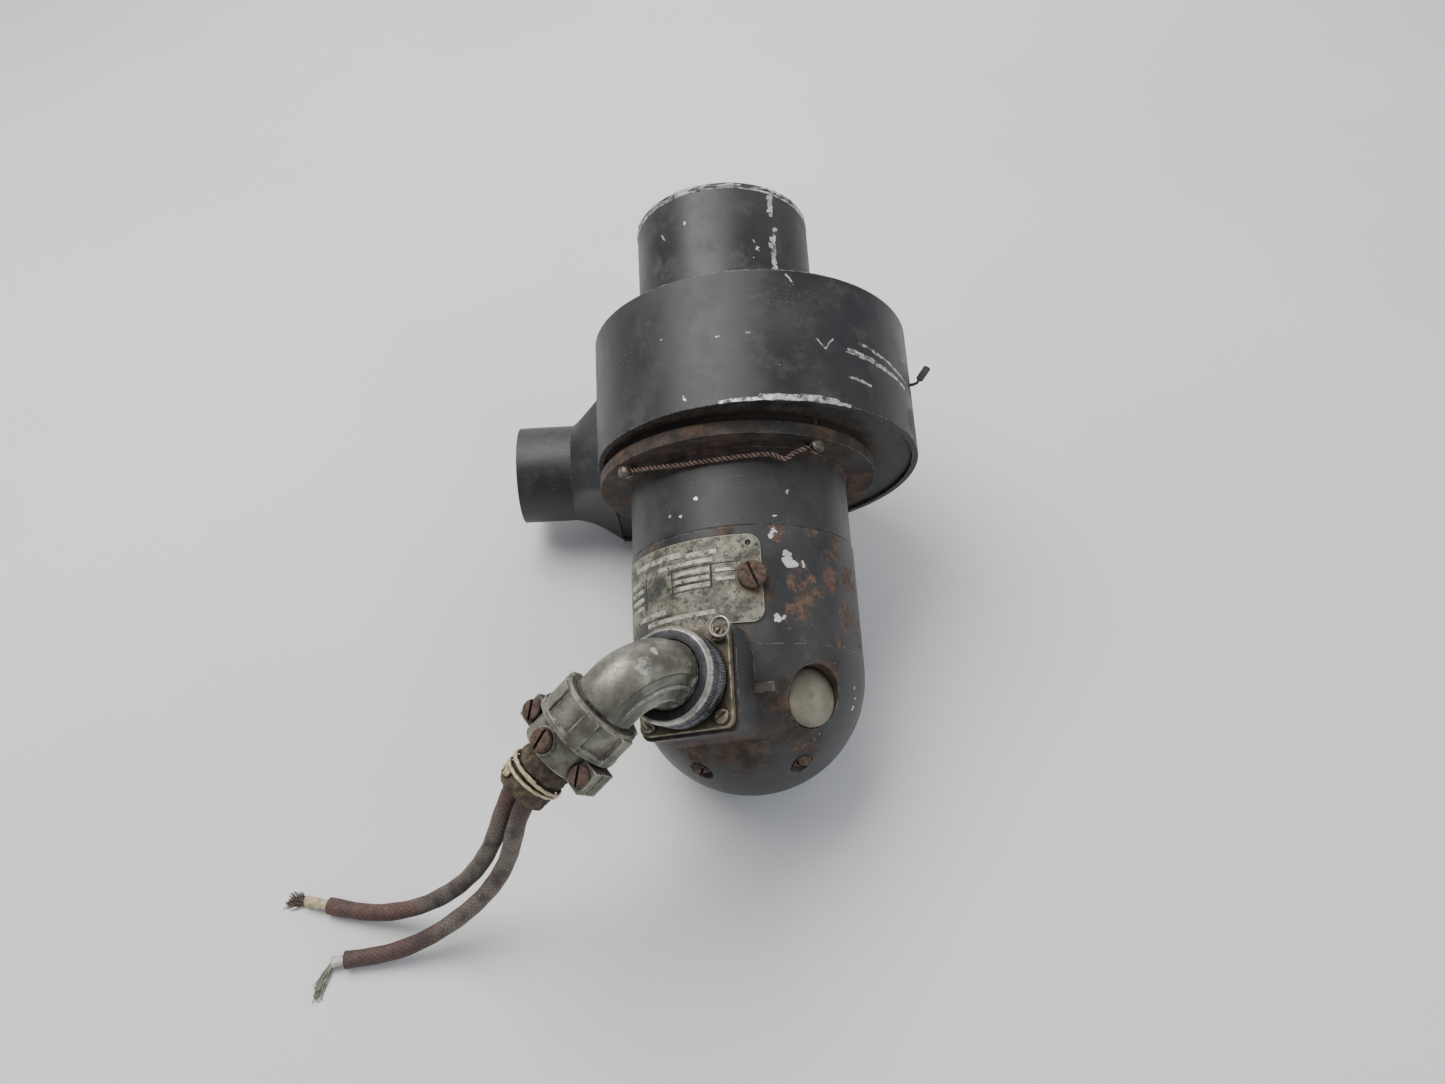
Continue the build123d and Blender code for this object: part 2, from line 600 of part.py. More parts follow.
def make_small_trim():
    """A lug on the side of the connector box and two wire loops on a receptacle screw."""
    parts["box_lug"] = connector * block(-22.5, -BOX_HALF, 0.9, 3.9, 33.2, 35.4)
    loops = []
    loop_centre = -RECEPTACLE_PITCH - 1.8
    for radius, lift in ((2.6, 4.96), (3.0, 5.68)):
        loops.append(connector * Pos(loop_centre, loop_centre, CONNECTOR_FACE + lift) * Torus(radius, 0.35))
    parts["safety_wires"] = group(loops)


# ---- cable bushing, lacing and the two wires ----
BUSHING_END = 49.0
WIRE_SPREAD = 3.0


def make_bushing():
    bushing = disc(7.1, 17.0, 26.0) + disc(7.8, 25.6, BUSHING_END)
    bushing = fillet(bushing.edges().filter_by(GeomType.CIRCLE).sort_by(SortBy.DISTANCE)[-1], 1.0)
    for x in (-WIRE_SPREAD, WIRE_SPREAD):
        bushing -= disc_at(WIRE_R, x, 0, 38.0, BUSHING_END + 1)
    parts["cable_bushing"] = cable_end * bushing
    parts["lacing_tie"] = cable_end * (ring(8.6, 7.8, 41.0, 42.6) + ring(8.5, 7.8, 42.5, 44.2))


def make_all():
    make_scroll()
    make_front_housing()
    make_motor_frame()
    make_rotor()
    make_impeller()
    make_bearings()
    make_end_bell()
    make_brushes()
    make_receptacle()
    make_coupling_ring()
    make_backshell()
    make_small_trim()
    make_bushing()


make_all()


# ---- resting pose: the scroll's rim and the end bell both touch the floor ----
def rest_gap(tilt):
    """Height of the scroll's low rim above the end bell's lowest point."""
    rim = SCROLL_START * math.sin(tilt) - SCROLL_BOTTOM * math.cos(tilt)
    return rim - (BELL_CENTRE * math.sin(tilt) - MOTOR_R)


def resting_tilt():
    low, high = 0.2, 0.7
    for _ in range(50):
        middle = (low + high) / 2
        if rest_gap(middle) < 0:
            low = middle
        else:
            high = middle
    return math.degrees(low)


TILT = resting_tilt()
tilted = Rot(TILT - 90, 0, 0)
box = group([tilted * solid for shape in parts.values() for solid in shape.solids()]).bounding_box()
pump_pose = Pos(-(box.min.X + box.max.X) / 2, -(box.min.Y + box.max.Y) / 2, -box.min.Z) * tilted
print("tilt", TILT, "seam centre", pump_pose.position, "size", box.size)


def place(shape):
    solids = [pump_pose * solid for solid in shape.solids()]
    return solids[0] if len(solids) == 1 else group(solids)


placed = {name: place(shape) for name, shape in parts.items()}

# ---- the two wires, in the row frame: they leave the bushing and come down to the floor ----
WIRE_1_ROUTE = [
    (-56.0, -102.3, 75.5),
    (-62.6, -106.1, 70.5),
    (-66.6, -108.6, 62.5),
    (-70.0, -110.3, 53.0),
    (-73.9, -111.6, 43.0),
    (-80.0, -112.7, 31.5),
    (-88.8, -113.6, 20.4),
    (-100.8, -114.1, 11.0),
    (-113.5, -113.3, 5.6),
    (-124.5, -111.0, 3.3),
    (-133.0, -108.5, 2.95),
]
WIRE_2_ROUTE = [
    (-52.7, -107.3, 75.0),
    (-58.9, -110.8, 70.3),
    (-62.6, -113.0, 62.5),
    (-65.3, -114.4, 53.5),
    (-68.4, -115.6, 43.0),
    (-74.2, -117.1, 31.0),
    (-82.3, -119.1, 20.3),
    (-93.5, -122.0, 11.0),
    (-105.0, -124.6, 5.4),
    (-115.8, -126.0, 3.3),
    (-124.8, -126.4, 2.95),
]
INSULATION_R = 1.7
STRAND_R = 0.35
STRANDS = 5


def bend_radii(route):
    """One radius for each corner: as large as the two runs beside it allow."""
    points = [Vector(point) for point in route]
    radii = []
    for before, corner, after in zip(points, points[1:], points[2:]):
        turn = math.radians((corner - before).get_angle(after - corner))
        shorter = min((corner - before).length, (after - corner).length)
        radii.append(0.45 * shorter / math.tan(turn / 2))
    return radii


def cord_tube(name, route, radius):
    radii = bend_radii(route)
    path = FilletPolyline(*route, radius=radii)
    section = Plane(origin=path @ 0, z_dir=path % 0) * Circle(radius)
    tube = sweep(section, path=path)
    print(name, "radii", [round(value, 1) for value in radii], "length", round(path.length, 1),
          "volume ratio", round(tube.volume / (path.length * math.pi * radius ** 2), 4))
    return tube


def straight_rod(start, end, radius):
    reach = Vector(end) - Vector(start)
    return extrude(Plane(origin=start, z_dir=reach) * Circle(radius), reach.length)


def make_wire(number, route, bare_length, strand_reach, strand_drift):
    """Sheath, then a length of inner insulation, then frayed strands, all one after another."""
    end = Vector(route[-1])
    ahead = (end - Vector(route[-2])).normalized()
    level = Vector(ahead.X, ahead.Y, 0).normalized()
    across = Vector(-level.Y, level.X, 0)
    bare_end = end + ahead * bare_length
    bare_end = Vector(bare_end.X, bare_end.Y, max(bare_end.Z, INSULATION_R + 0.3))
    placed[f"wire_{number}"] = cord_tube(f"wire_{number}", route, WIRE_R)
    strands = [straight_rod(end, bare_end, INSULATION_R)]
    for index in range(STRANDS):
        fan = (index - (STRANDS - 1) / 2) / STRANDS
        foot = bare_end + across * fan * 2.4 + level * 0.15
        tip = bare_end + level * (strand_reach - abs(fan) * 2) + across * (fan * 9 + strand_drift)
        tip = Vector(tip.X, tip.Y, STRAND_R + 0.45)
        strands.append(straight_rod(foot, tip, STRAND_R))
    placed[f"wire_{number}_bare_end"] = group(strands)


make_wire(1, WIRE_1_ROUTE, 9.0, 8.5, 0.0)
make_wire(2, WIRE_2_ROUTE, 4.5, 6.0, 8.0)

os.makedirs("parts", exist_ok=True)
for name, shape in placed.items():
    export_step(shape, f"parts/{name}.step")
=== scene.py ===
import json
import math

import bpy
from mathutils import Matrix, Vector, noise


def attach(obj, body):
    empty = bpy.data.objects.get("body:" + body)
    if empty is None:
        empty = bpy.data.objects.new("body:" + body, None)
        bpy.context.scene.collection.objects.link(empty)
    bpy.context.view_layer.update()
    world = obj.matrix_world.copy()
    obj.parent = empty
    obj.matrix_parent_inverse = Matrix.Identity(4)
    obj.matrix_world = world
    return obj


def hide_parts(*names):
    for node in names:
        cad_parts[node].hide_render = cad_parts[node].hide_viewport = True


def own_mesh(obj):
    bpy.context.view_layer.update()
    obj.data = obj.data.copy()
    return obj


noise.seed_set(5)
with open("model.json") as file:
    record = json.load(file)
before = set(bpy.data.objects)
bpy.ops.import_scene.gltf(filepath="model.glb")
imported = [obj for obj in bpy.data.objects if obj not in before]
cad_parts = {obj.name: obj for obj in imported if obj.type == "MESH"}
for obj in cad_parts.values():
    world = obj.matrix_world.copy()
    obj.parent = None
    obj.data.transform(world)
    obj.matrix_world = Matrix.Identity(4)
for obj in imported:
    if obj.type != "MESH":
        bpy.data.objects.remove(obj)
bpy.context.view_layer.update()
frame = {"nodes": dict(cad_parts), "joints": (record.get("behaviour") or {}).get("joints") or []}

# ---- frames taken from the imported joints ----
JOINTS = {joint["name"]: joint for joint in frame["joints"]}
SEAM = Vector(JOINTS["rotor_spin"]["pos_m"])
AXIS = Vector(JOINTS["rotor_spin"]["axis"]).normalized()
RIGHT = Vector((1, 0, 0))
OUTWARD = RIGHT.cross(AXIS)
PLUG_ORIGIN = Vector(JOINTS["coupling_ring_turn"]["pos_m"])
PLUG_AXIS = Vector(JOINTS["coupling_ring_turn"]["axis"]).normalized()
MM = 0.001


def frame_matrix(x_axis, y_axis, z_axis, origin):
    """Millimetres in a local frame, into metres in the row frame."""
    matrix = Matrix((x_axis * MM, y_axis * MM, z_axis * MM)).transposed().to_4x4()
    matrix.translation = origin
    return matrix


PUMP = frame_matrix(RIGHT, -OUTWARD, AXIS, SEAM)
PLUG = frame_matrix((-AXIS).cross(PLUG_AXIS), -AXIS, PLUG_AXIS, PLUG_ORIGIN)
ELBOW_TURN = math.radians(37)
ELBOW = PLUG @ Matrix.Rotation(ELBOW_TURN, 4, "Z")
ELBOW_TOP = 75
ELBOW_BEND = 11
CABLE = ELBOW @ Matrix(((0, 0, 1, 0), (1, 0, 0, 0), (0, 1, 0, ELBOW_TOP), (0, 0, 0, 1)))


def spot(radius, angle, z=0):
    """Pump frame: angle in degrees from the left side, over the top, to the right."""
    turn = math.radians(angle)
    return Vector((-radius * math.cos(turn), -radius * math.sin(turn), z))


def scroll_radius(angle):
    turn = math.radians(angle)
    return 48.1 + 4.9 * turn + 0.09 * turn ** 2


# ---- camera, floor and light ----
CAMERA_PLACE = (-13.1, -111.4, 362.2)
CAMERA_LOOK = (0.01726, 0.3104, -0.95045)
CAMERA_UP = (0.05277, 0.94898, 0.31088)


def pump_direction(right, along, outward):
    return RIGHT * right + AXIS * along + OUTWARD * outward


def make_camera():
    """The camera stands beside and above the end bell: its place is in mm from the seam centre."""
    look = pump_direction(*CAMERA_LOOK)
    right = look.cross(pump_direction(*CAMERA_UP)).normalized()
    up = right.cross(look).normalized()
    camera = bpy.data.objects.new("camera", bpy.data.cameras.new("camera"))
    turned = Matrix((right, up, -look.normalized())).transposed().to_4x4()
    camera.matrix_world = Matrix.Translation(SEAM + pump_direction(*CAMERA_PLACE) * MM) @ turned
    camera.data.sensor_width = 36
    camera.data.lens = 27.4
    camera.data.clip_start = 0.01
    camera.data.dof.use_dof = False
    bpy.context.scene.collection.objects.link(camera)
    bpy.context.scene.camera = camera


make_camera()


# ---- building pieces ----
def turned(first, second, angle):
    """The direction at an angle from the first towards the second."""
    return first * math.cos(angle) + second * math.sin(angle)


def ring_point(radius, angle, z):
    return Vector((radius * math.cos(angle), radius * math.sin(angle), z))


def show(name, data):
    """A new object in the scene."""
    thing = bpy.data.objects.new(name, data)
    bpy.context.scene.collection.objects.link(thing)
    return thing


def add_piece(
    name, verts, faces, material, matrix=Matrix.Identity(4), uvs=None, face_materials=None, body="housing",
    replaces=(), smooth=True,
):
    """A piece from points in a local frame, with one material or a list of them, riding on a body."""
    mesh = mesh_from(name, verts, faces, matrix, uvs, face_materials)
    if smooth:
        mesh.shade_smooth()
    for item in material if isinstance(material, list) else [material]:
        mesh.materials.append(MATERIALS[item])
    piece = show(name, mesh)
    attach(piece, body)
    if replaces:
        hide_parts(*replaces)
    return piece


def mesh_from(name, verts, faces, matrix, uvs, face_materials):
    """uvs is one pair for each vertex."""
    mesh = bpy.data.meshes.new(name)
    mesh.from_pydata([matrix @ Vector(v) for v in verts], [], faces)
    if uvs is not None:
        layer = mesh.uv_layers.new(name="PieceUV")
        for loop in mesh.loops:
            layer.data[loop.index].uv = uvs[loop.vertex_index]
    if face_materials is not None:
        mesh.polygons.foreach_set("material_index", face_materials)
    mesh.validate()
    mesh.update()
    return mesh


def join_part(verts, faces, part_verts, part_faces):
    """Adds a part's points and faces to a mesh that is being gathered."""
    faces += [tuple(v + len(verts) for v in face) for face in part_faces]
    verts += part_verts


def grid_faces(rows, columns, wrap_rows=False, wrap_columns=False):
    faces = []
    for i in range(rows if wrap_rows else rows - 1):
        for j in range(columns if wrap_columns else columns - 1):
            a = i * columns + j
            b = i * columns + (j + 1) % columns
            c = ((i + 1) % rows) * columns + (j + 1) % columns
            d = ((i + 1) % rows) * columns + j
            faces.append((a, b, c, d))
    return faces


def lathe(profile, segments, shape=None):
    """Closed profile of (radius, z) turned about Z; shape may move a point (radius, z, angle, index)."""
    verts = []
    for index, (radius, z) in enumerate(profile):
        for step in range(segments):
            angle = 2 * math.pi * step / segments
            r, h = shape(radius, z, angle, index) if shape else (radius, z)
            verts.append(ring_point(r, angle, h))
    return verts, grid_faces(len(profile), segments, wrap_rows=True, wrap_columns=True)


def rounded(points, radius=0.5, steps=3):
    """Cuts the corners of a closed profile to small arcs."""
    result = []
    count = len(points)
    for index in range(count):
        before = Vector(points[index - 1])
        corner = Vector(points[index])
        after = Vector(points[(index + 1) % count])
        to_before = before - corner
        to_after = after - corner
        reach = min(radius, to_before.length * 0.45, to_after.length * 0.45)
        start = corner + to_before.normalized() * reach
        end = corner + to_after.normalized() * reach
        for step in range(steps + 1):
            t = step / steps
            point = start * (1 - t) ** 2 + corner * 2 * t * (1 - t) + end * t ** 2
            result.append((point.x, point.y))
    return result


def end_caps(rows, segments):
    """The first and last rings of a tube's points, as two faces."""
    first = tuple(range(segments - 1, -1, -1))
    return [first, tuple(range((rows - 1) * segments, rows * segments))]


def frames_along(points):
    """Tangent, normal and side at each point, turning as little as possible on the way."""
    last = len(points) - 1
    tangents = [(points[min(i + 1, last)] - points[max(i - 1, 0)]).normalized() for i in range(last + 1)]
    normal = tangents[0].orthogonal().normalized()
    frames = []
    for tangent in tangents:
        normal = (normal - tangent * normal.dot(tangent)).normalized()
        frames.append((tangent, normal, tangent.cross(normal)))
    return frames


def tube_along(points, radius_at, segments):
    """A closed tube along points (row frame, metres) with UVs: turns round, metres along."""
    verts = []
    uvs = []
    along = 0
    for index, (_, normal, side) in enumerate(frames_along(points)):
        if index:
            along += (points[index] - points[index - 1]).length
        for step in range(segments):
            angle = 2 * math.pi * step / segments
            radius = radius_at(along, angle)
            verts.append(points[index] + turned(normal, side, angle) * radius)
            uvs.append((step / segments, along))
    faces = grid_faces(len(points), segments, wrap_columns=True) + end_caps(len(points), segments)
    return verts, faces, uvs


def spline_curve(name, points, order=3):
    """A NURBS curve with the points as control points, in metres."""
    curve = bpy.data.curves.new(name, "CURVE")
    curve.dimensions = "3D"
    curve.resolution_u = 24
    spline = curve.splines.new("NURBS")
    spline.points.add(len(points) - 1)
    for target, point in zip(spline.points, points):
        target.co = (*point, 1)
    spline.use_endpoint_u = True
    spline.order_u = order
    return curve


def points_on(curve):
    """Points along a curve that has no bevel, in order."""
    holder = show("route_reader", curve)
    bpy.context.view_layer.update()
    evaluated = holder.evaluated_get(bpy.context.evaluated_depsgraph_get())
    mesh = bpy.data.meshes.new_from_object(evaluated)
    points = [v.co.copy() for v in mesh.vertices]
    bpy.data.objects.remove(holder)
    bpy.data.meshes.remove(mesh)
    return points


def resampled(points, spacing):
    """The same line with points about that far apart."""
    result = [points[0]]
    carry = 0
    for before, after in zip(points, points[1:]):
        length = (after - before).length
        position = spacing - carry
        while position < length:
            result.append(before.lerp(after, position / length))
            position += spacing
        carry = (carry + length) % spacing if length else carry
    if (result[-1] - points[-1]).length > spacing * 0.3:
        result.append(points[-1])
    return result


# ---- shader building ----
class Shader:
    """A Principled material whose inputs are filled by small procedural steps."""

    def __init__(self, name):
        self.material = bpy.data.materials.new(name)
        self.material.use_nodes = True
        self.tree = self.material.node_tree
        self.tree.nodes.clear()
        self.surface = self.tree.nodes.new("ShaderNodeBsdfPrincipled")
        output = self.tree.nodes.new("ShaderNodeOutputMaterial")
        self.tree.links.new(self.surface.outputs[0], output.inputs[0])
        self.coords = self.node("ShaderNodeTexCoord", {}).outputs["Object"]

    def node(self, kind, inputs, **settings):
        """A new node with its settings, then its inputs by name or number."""
        node = self.tree.nodes.new(kind)
        for key, value in settings.items():
            setattr(node, key, value)
        for key, value in inputs.items():
            self.put(node.inputs[key], value)
        return node

    def put(self, socket, value):
        if isinstance(value, bpy.types.NodeSocket):
            self.tree.links.new(value, socket)
        elif value is not None:
            socket.default_value = value

    def noise(self, scale, detail=4, roughness=0.55, distortion=0, vector=None):
        inputs = {"Vector": vector or self.coords, "Scale": scale, "Detail": detail}
        inputs.update({"Roughness": roughness, "Distortion": distortion})
        return self.node("ShaderNodeTexNoise", inputs).outputs["Fac"]

    def math(self, operation, a, b=None, clamp=False):
        return self.node("ShaderNodeMath", {0: a, 1: b}, operation=operation, use_clamp=clamp).outputs[0]

    def times(self, a, b):
        return self.math("MULTIPLY", a, b)

    def most(self, a, b):
        """The larger of the two; a may be None for the first of a row."""
        return b if a is None else self.math("MAXIMUM", a, b)

    def vector(self, operation, a, b):
        second = "Scale" if operation == "SCALE" else 1
        node = self.node("ShaderNodeVectorMath", {0: a, second: b}, operation=operation)
        return node.outputs["Value" if operation in ("DOT_PRODUCT", "DISTANCE") else "Vector"]

    def step(self, value, low, high):
        inputs = {0: value, 1: low, 2: high, 3: 0, 4: 1}
        return self.node("ShaderNodeMapRange", inputs, interpolation_type="SMOOTHSTEP").outputs[0]

    def patches(self, low, high, *noise):
        """1 where a noise passes high, 0 where it stays under low."""
        return self.step(self.noise(*noise), low, high)

    def mix(self, factor, a, b):
        a, b = ((*colour, 1) if isinstance(colour, tuple) else colour for colour in (a, b))
        return self.node("ShaderNodeMix", {0: factor, 6: a, 7: b}, data_type="RGBA").outputs[2]

    def blend(self, factor, a, b):
        return self.node("ShaderNodeMix", {0: factor, 2: a, 3: b}, data_type="FLOAT").outputs[0]

    def stretched(self, scale, rotation=(0, 0, 0)):
        inputs = {"Vector": self.coords, "Rotation": rotation, "Scale": scale}
        return self.node("ShaderNodeMapping", inputs).outputs[0]

    def shade_in_corners(self, distance=0.004):
        """1 in corners and gaps, 0 on open surfaces, from ambient occlusion: the mask for painted shade in
        corners.
        """
        node = self.node("ShaderNodeAmbientOcclusion", {"Distance": distance}, samples=6)
        return self.step(node.outputs["AO"], 0.95, 0.45)

    def soft_normal(self, radius=0.0005):
        return self.node("ShaderNodeBevel", {"Radius": radius}, samples=6).outputs[0]

    def edges(self, radius=0.0008):
        """1 on outer edges, by how far a rounded normal turns from the true one."""
        true = self.node("ShaderNodeNewGeometry", {}).outputs["True Normal"]
        return self.step(self.vector("DOT_PRODUCT", self.soft_normal(radius), true), 0.985, 0.9)

    def bump(self, height, strength, distance, normal=None):
        inputs = {"Height": height, "Strength": strength, "Distance": distance, "Normal": normal}
        return self.node("ShaderNodeBump", inputs).outputs[0]

    def distance_mm(self, centre, place):
        return self.times(self.vector("DISTANCE", place, tuple(centre)), 1000)

    def wobbled(self, amount=0.002, scale=350):
        """The place with its own small random offset, for ragged outlines."""
        noise = self.node("ShaderNodeTexNoise", {"Vector": self.coords, "Scale": scale, "Detail": 3})
        shift = self.vector("SUBTRACT", noise.outputs["Color"], (0.5, 0.5, 0.5))
        return self.vector("ADD", self.coords, self.vector("SCALE", shift, amount * 2))

    def marks(self, spots, wobble=0.0022, scale=350):
        """1 inside any ragged spot: (point in metres, radius in mm)."""
        place = self.wobbled(wobble, scale)
        total = None
        for centre, radius in spots:
            total = self.most(total, self.step(self.distance_mm(centre, place), radius * 1.08, radius * 0.92))
        return total

    def scrapes(self, lines):
        """1 along any straight scrape: (start, end, half width in mm), thinned and broken by noise."""
        place = self.wobbled(0.0009, 260)
        broken = self.patches(0.4, 0.54, 300, 6, 0.75)
        total = None
        for start, end, half_width in lines:
            reach = end - start
            offset = self.vector("SUBTRACT", place, tuple(start))
            share = self.vector("DOT_PRODUCT", offset, tuple(reach / reach.length_squared))
            share = self.math("ADD", share, 0, clamp=True)
            miss = self.vector("DISTANCE", offset, self.vector("SCALE", tuple(reach), share))
            total = self.most(total, self.step(miss, half_width * 1.3 * MM, half_width * 0.7 * MM))
        return self.times(total, broken)

    def stains(self, spots):
        """1 in the middle of a soft stain, fading out to its radius: (point, radius in mm)."""
        place = self.wobbled(0.004, 90)
        total = None
        for centre, radius in spots:
            total = self.most(total, self.step(self.distance_mm(centre, place), radius, radius * 0.35))
        return self.times(total, self.patches(0.25, 0.55, 240, 5, 0.7))

    def along_axis(self):
        """Millimetres along the motor axis from the seam."""
        offset = self.vector("SUBTRACT", self.coords, tuple(SEAM))
        return self.vector("DOT_PRODUCT", offset, tuple(AXIS * 1000))

    def finish(self, colour, roughness, metallic=0, normal=None, specular=None):
        values = {"Base Color": (*colour, 1) if isinstance(colour, tuple) else colour}
        values.update({"Roughness": roughness, "Metallic": metallic, "Normal": normal})
        values["Specular IOR Level"] = specular
        for key, value in values.items():
            self.put(self.surface.inputs[key], value)
        return self.material


def on_pump(spots):
    """(radius, angle, z, size) in the pump frame to (row point, size)."""
    return [(PUMP @ spot(radius, angle, z), size) for radius, angle, z, size in spots]


def faded_black(s, cloud, dusty):
    """Cloudy black with dust, dark smudges and a fine pale speckle."""
    colour = s.mix(s.step(cloud, 0.35, 0.68), (0.013, 0.0135, 0.014), (0.03, 0.031, 0.031))
    colour = s.mix(dusty, colour, (0.085, 0.08, 0.066))
    smudge = s.times(s.patches(0.56, 0.7, 24, 3, 0.6, 0.6), 0.5)
    colour = s.mix(smudge, colour, (0.008, 0.008, 0.008))
    speckle = s.patches(0.665, 0.72, 900, 3, 0.7)
    return s.mix(s.times(speckle, 0.35), colour, (0.17, 0.165, 0.15))


def paint_grime_and_shade(s, cloud, stains, brown_from):
    """Painted shade in corners, grime in stains, and grime everywhere past a place along the motor axis."""
    # painted shade: corners and gaps found by ambient occlusion are darkened
    grime_and_shade = s.times(s.shade_in_corners(0.007), 0.8)
    if stains:
        grime_and_shade = s.most(grime_and_shade, s.stains(on_pump(stains)))
    if brown_from is not None:
        place = s.math("ADD", s.along_axis(), s.times(s.noise(110, 4, 0.7), 3))
        band = s.times(s.step(place, brown_from, brown_from + 3), s.step(cloud, 0.25, 0.6))
        grime_and_shade = s.most(grime_and_shade, band)
    return grime_and_shade


def hair_scratches(s, amount):
    """Fine pale lines, broken into stretches."""
    lines = s.noise(60, 2, 0.5, vector=s.stretched((1, 9, 26), (0.4, 0.3, 0.9)))
    hair = s.step(s.math("ABSOLUTE", s.math("SUBTRACT", lines, 0.5)), 0.005, 0)
    return s.times(s.times(hair, s.patches(0.54, 0.62, 55, 2)), amount)


def bare_patches(s, chips, scrapes):
    """1 where the paint is gone down to bright metal."""
    bare = s.patches(0.735, 0.75, 230, 5, 0.62)
    if chips:
        bare = s.most(bare, s.marks(on_pump(chips), 0.0016, 420))
    if scrapes:
        bare = s.most(bare, s.scrapes(scrapes))
    return bare


def rust_patches(s, spots, share):
    """1 where rust has come through: a share of the whole, and more in the given spots."""
    rusty = s.times(s.patches(0.6, 0.66, 75, 6, 0.68), share)
    if spots:
        patch = s.marks(on_pump(spots), 0.006, 120)
        rusty = s.most(rusty, s.times(patch, s.patches(0.42, 0.54, 230, 6, 0.72)))
    return rusty


def black_paint(
    name, chips=(), rust=(), scrapes=(), stains=(), brown_from=None, scratches=0.5, dust=0.35, bare_edges=0.6,
    rust_share=0,
):
    """Worn matt black paint: cloudy fading, dust, scratches, chips to bright metal, rust, brown grime and
    painted shade in corners.
    """
    s = Shader(name)
    cloud = s.noise(38, 5, 0.6)
    dusty = s.times(s.patches(0.48, 0.72, 90, 6, 0.7), dust)
    colour = faded_black(s, cloud, dusty)
    # one brown-black layer: real stains, the brown band past brown_from, and painted shade in corners
    grime_and_shade = paint_grime_and_shade(s, cloud, stains, brown_from)
    grime_and_shade_colour = s.mix(s.patches(0.4, 0.65, 180, 5, 0.7), (0.03, 0.019, 0.012), (0.105, 0.062, 0.036))
    colour = s.mix(s.times(grime_and_shade, 0.85), colour, grime_and_shade_colour)
    colour = s.mix(hair_scratches(s, scratches), colour, (0.24, 0.23, 0.21))
    edge = s.times(s.edges(0.0006), s.patches(0.46, 0.6, 330, 5, 0.75))
    colour = s.mix(s.times(edge, bare_edges), colour, (0.3, 0.285, 0.24))
    bare = bare_patches(s, chips, scrapes)
    rusty = rust_patches(s, rust, rust_share)
    rust_colour = s.mix(s.patches(0.38, 0.62, 420, 5, 0.7), (0.13, 0.078, 0.052), (0.052, 0.033, 0.026))
    colour = s.mix(rusty, colour, rust_colour)
    metal_colour = s.mix(s.patches(0.35, 0.62, 380, 5, 0.7), (0.36, 0.36, 0.33), (0.74, 0.74, 0.72))
    colour = s.mix(bare, colour, metal_colour)
    roughness = s.blend(s.step(cloud, 0.3, 0.7), 0.4, 0.56)
    for layer, rough in ((dusty, 0.8), (grime_and_shade, 0.85), (rusty, 0.9), (bare, 0.45)):
        roughness = s.blend(layer, roughness, rough)
    height = s.math("SUBTRACT", s.times(s.noise(420, 4, 0.6), 0.25), s.times(bare, 1))
    height = s.math("ADD", height, s.times(rusty, 0.5))
    normal = s.bump(height, 0.35, 0.0003, s.soft_normal())
    return s.finish(colour, roughness, s.times(bare, 0.7), normal, 0.5)


def worn_metal(
    name, light, dark, grime_and_shade=(0.05, 0.04, 0.03), metallic=0.75, rough=(0.32, 0.58), corner_shade=0.8, spots=0.5
):
    """Dull cast or plated metal with grime blots, painted shade in its corners and brighter worn edges."""
    s = Shader(name)
    cloud = s.noise(150, 6, 0.62)
    colour = s.mix(s.step(cloud, 0.36, 0.66), dark, light)
    blots = s.times(s.patches(0.54, 0.66, 320, 5, 0.7), spots)
    colour = s.mix(blots, colour, grime_and_shade)
    # painted shade: corners and gaps darkened towards the dark colour by the ambient occlusion mask
    colour = s.mix(s.times(s.shade_in_corners(0.005), corner_shade), colour, grime_and_shade)
    bright = s.times(s.edges(0.0006), s.patches(0.38, 0.6, 500))
    colour = s.mix(bright, colour, tuple(min(1, c * 1.5 + 0.08) for c in light))
    roughness = s.blend(s.step(cloud, 0.3, 0.7), rough[1], rough[0])
    roughness = s.blend(blots, roughness, 0.85)
    pits = s.math("SUBTRACT", s.noise(1100, 3), s.times(blots, 0.5))
    normal = s.bump(pits, 0.3, 0.0002, s.soft_normal(0.0004))
    metal = s.blend(blots, metallic, metallic * 0.3)
    return s.finish(colour, roughness, metal, normal, 0.5)


def elbow_metal():
    """The connector's metal, rubbed bright in streaks on the outside of the bend."""
    s = Shader("elbow_metal")
    cloud = s.noise(120, 6, 0.62)
    colour = s.mix(s.step(cloud, 0.36, 0.66), (0.105, 0.1, 0.076), (0.245, 0.24, 0.195))
    rubs = []
    places = ((20, -3, 1.8), (35, 0.5, 1.4), (50, 3, 1.8), (2, 3.5, 1.5), (71, -1, 1.2))
    for degrees, across, size in places:
        turn = math.radians(degrees)
        height = ELBOW_TOP - ELBOW_BEND + ELBOW_BEND * math.sin(turn)
        middle = Vector((ELBOW_BEND * (1 - math.cos(turn)), across, height))
        rubs.append((ELBOW @ (middle + Vector((-math.cos(turn), 0, math.sin(turn))) * 9.3), size))
    rubbed = s.times(s.marks(rubs, 0.004, 160), s.patches(0.44, 0.58, 420, 6, 0.75))
    colour = s.mix(s.times(rubbed, 0.7), colour, (0.5, 0.5, 0.45))
    # painted shade: corners and gaps darkened to near black
    grime_and_shade = s.times(s.shade_in_corners(0.005), 0.9)
    colour = s.mix(grime_and_shade, colour, (0.022, 0.022, 0.022))
    blots = s.times(s.patches(0.56, 0.66, 300, 5, 0.7), 0.4)
    colour = s.mix(blots, colour, (0.07, 0.06, 0.04))
    bright = s.times(s.edges(0.0006), s.patches(0.36, 0.6, 400))
    colour = s.mix(s.times(bright, 0.6), colour, (0.42, 0.41, 0.36))
    roughness = s.blend(s.step(cloud, 0.3, 0.7), 0.52, 0.34)
    normal = s.bump(s.noise(1100, 3), 0.3, 0.0002)
    return s.finish(colour, roughness, 0.55, normal, 0.5)


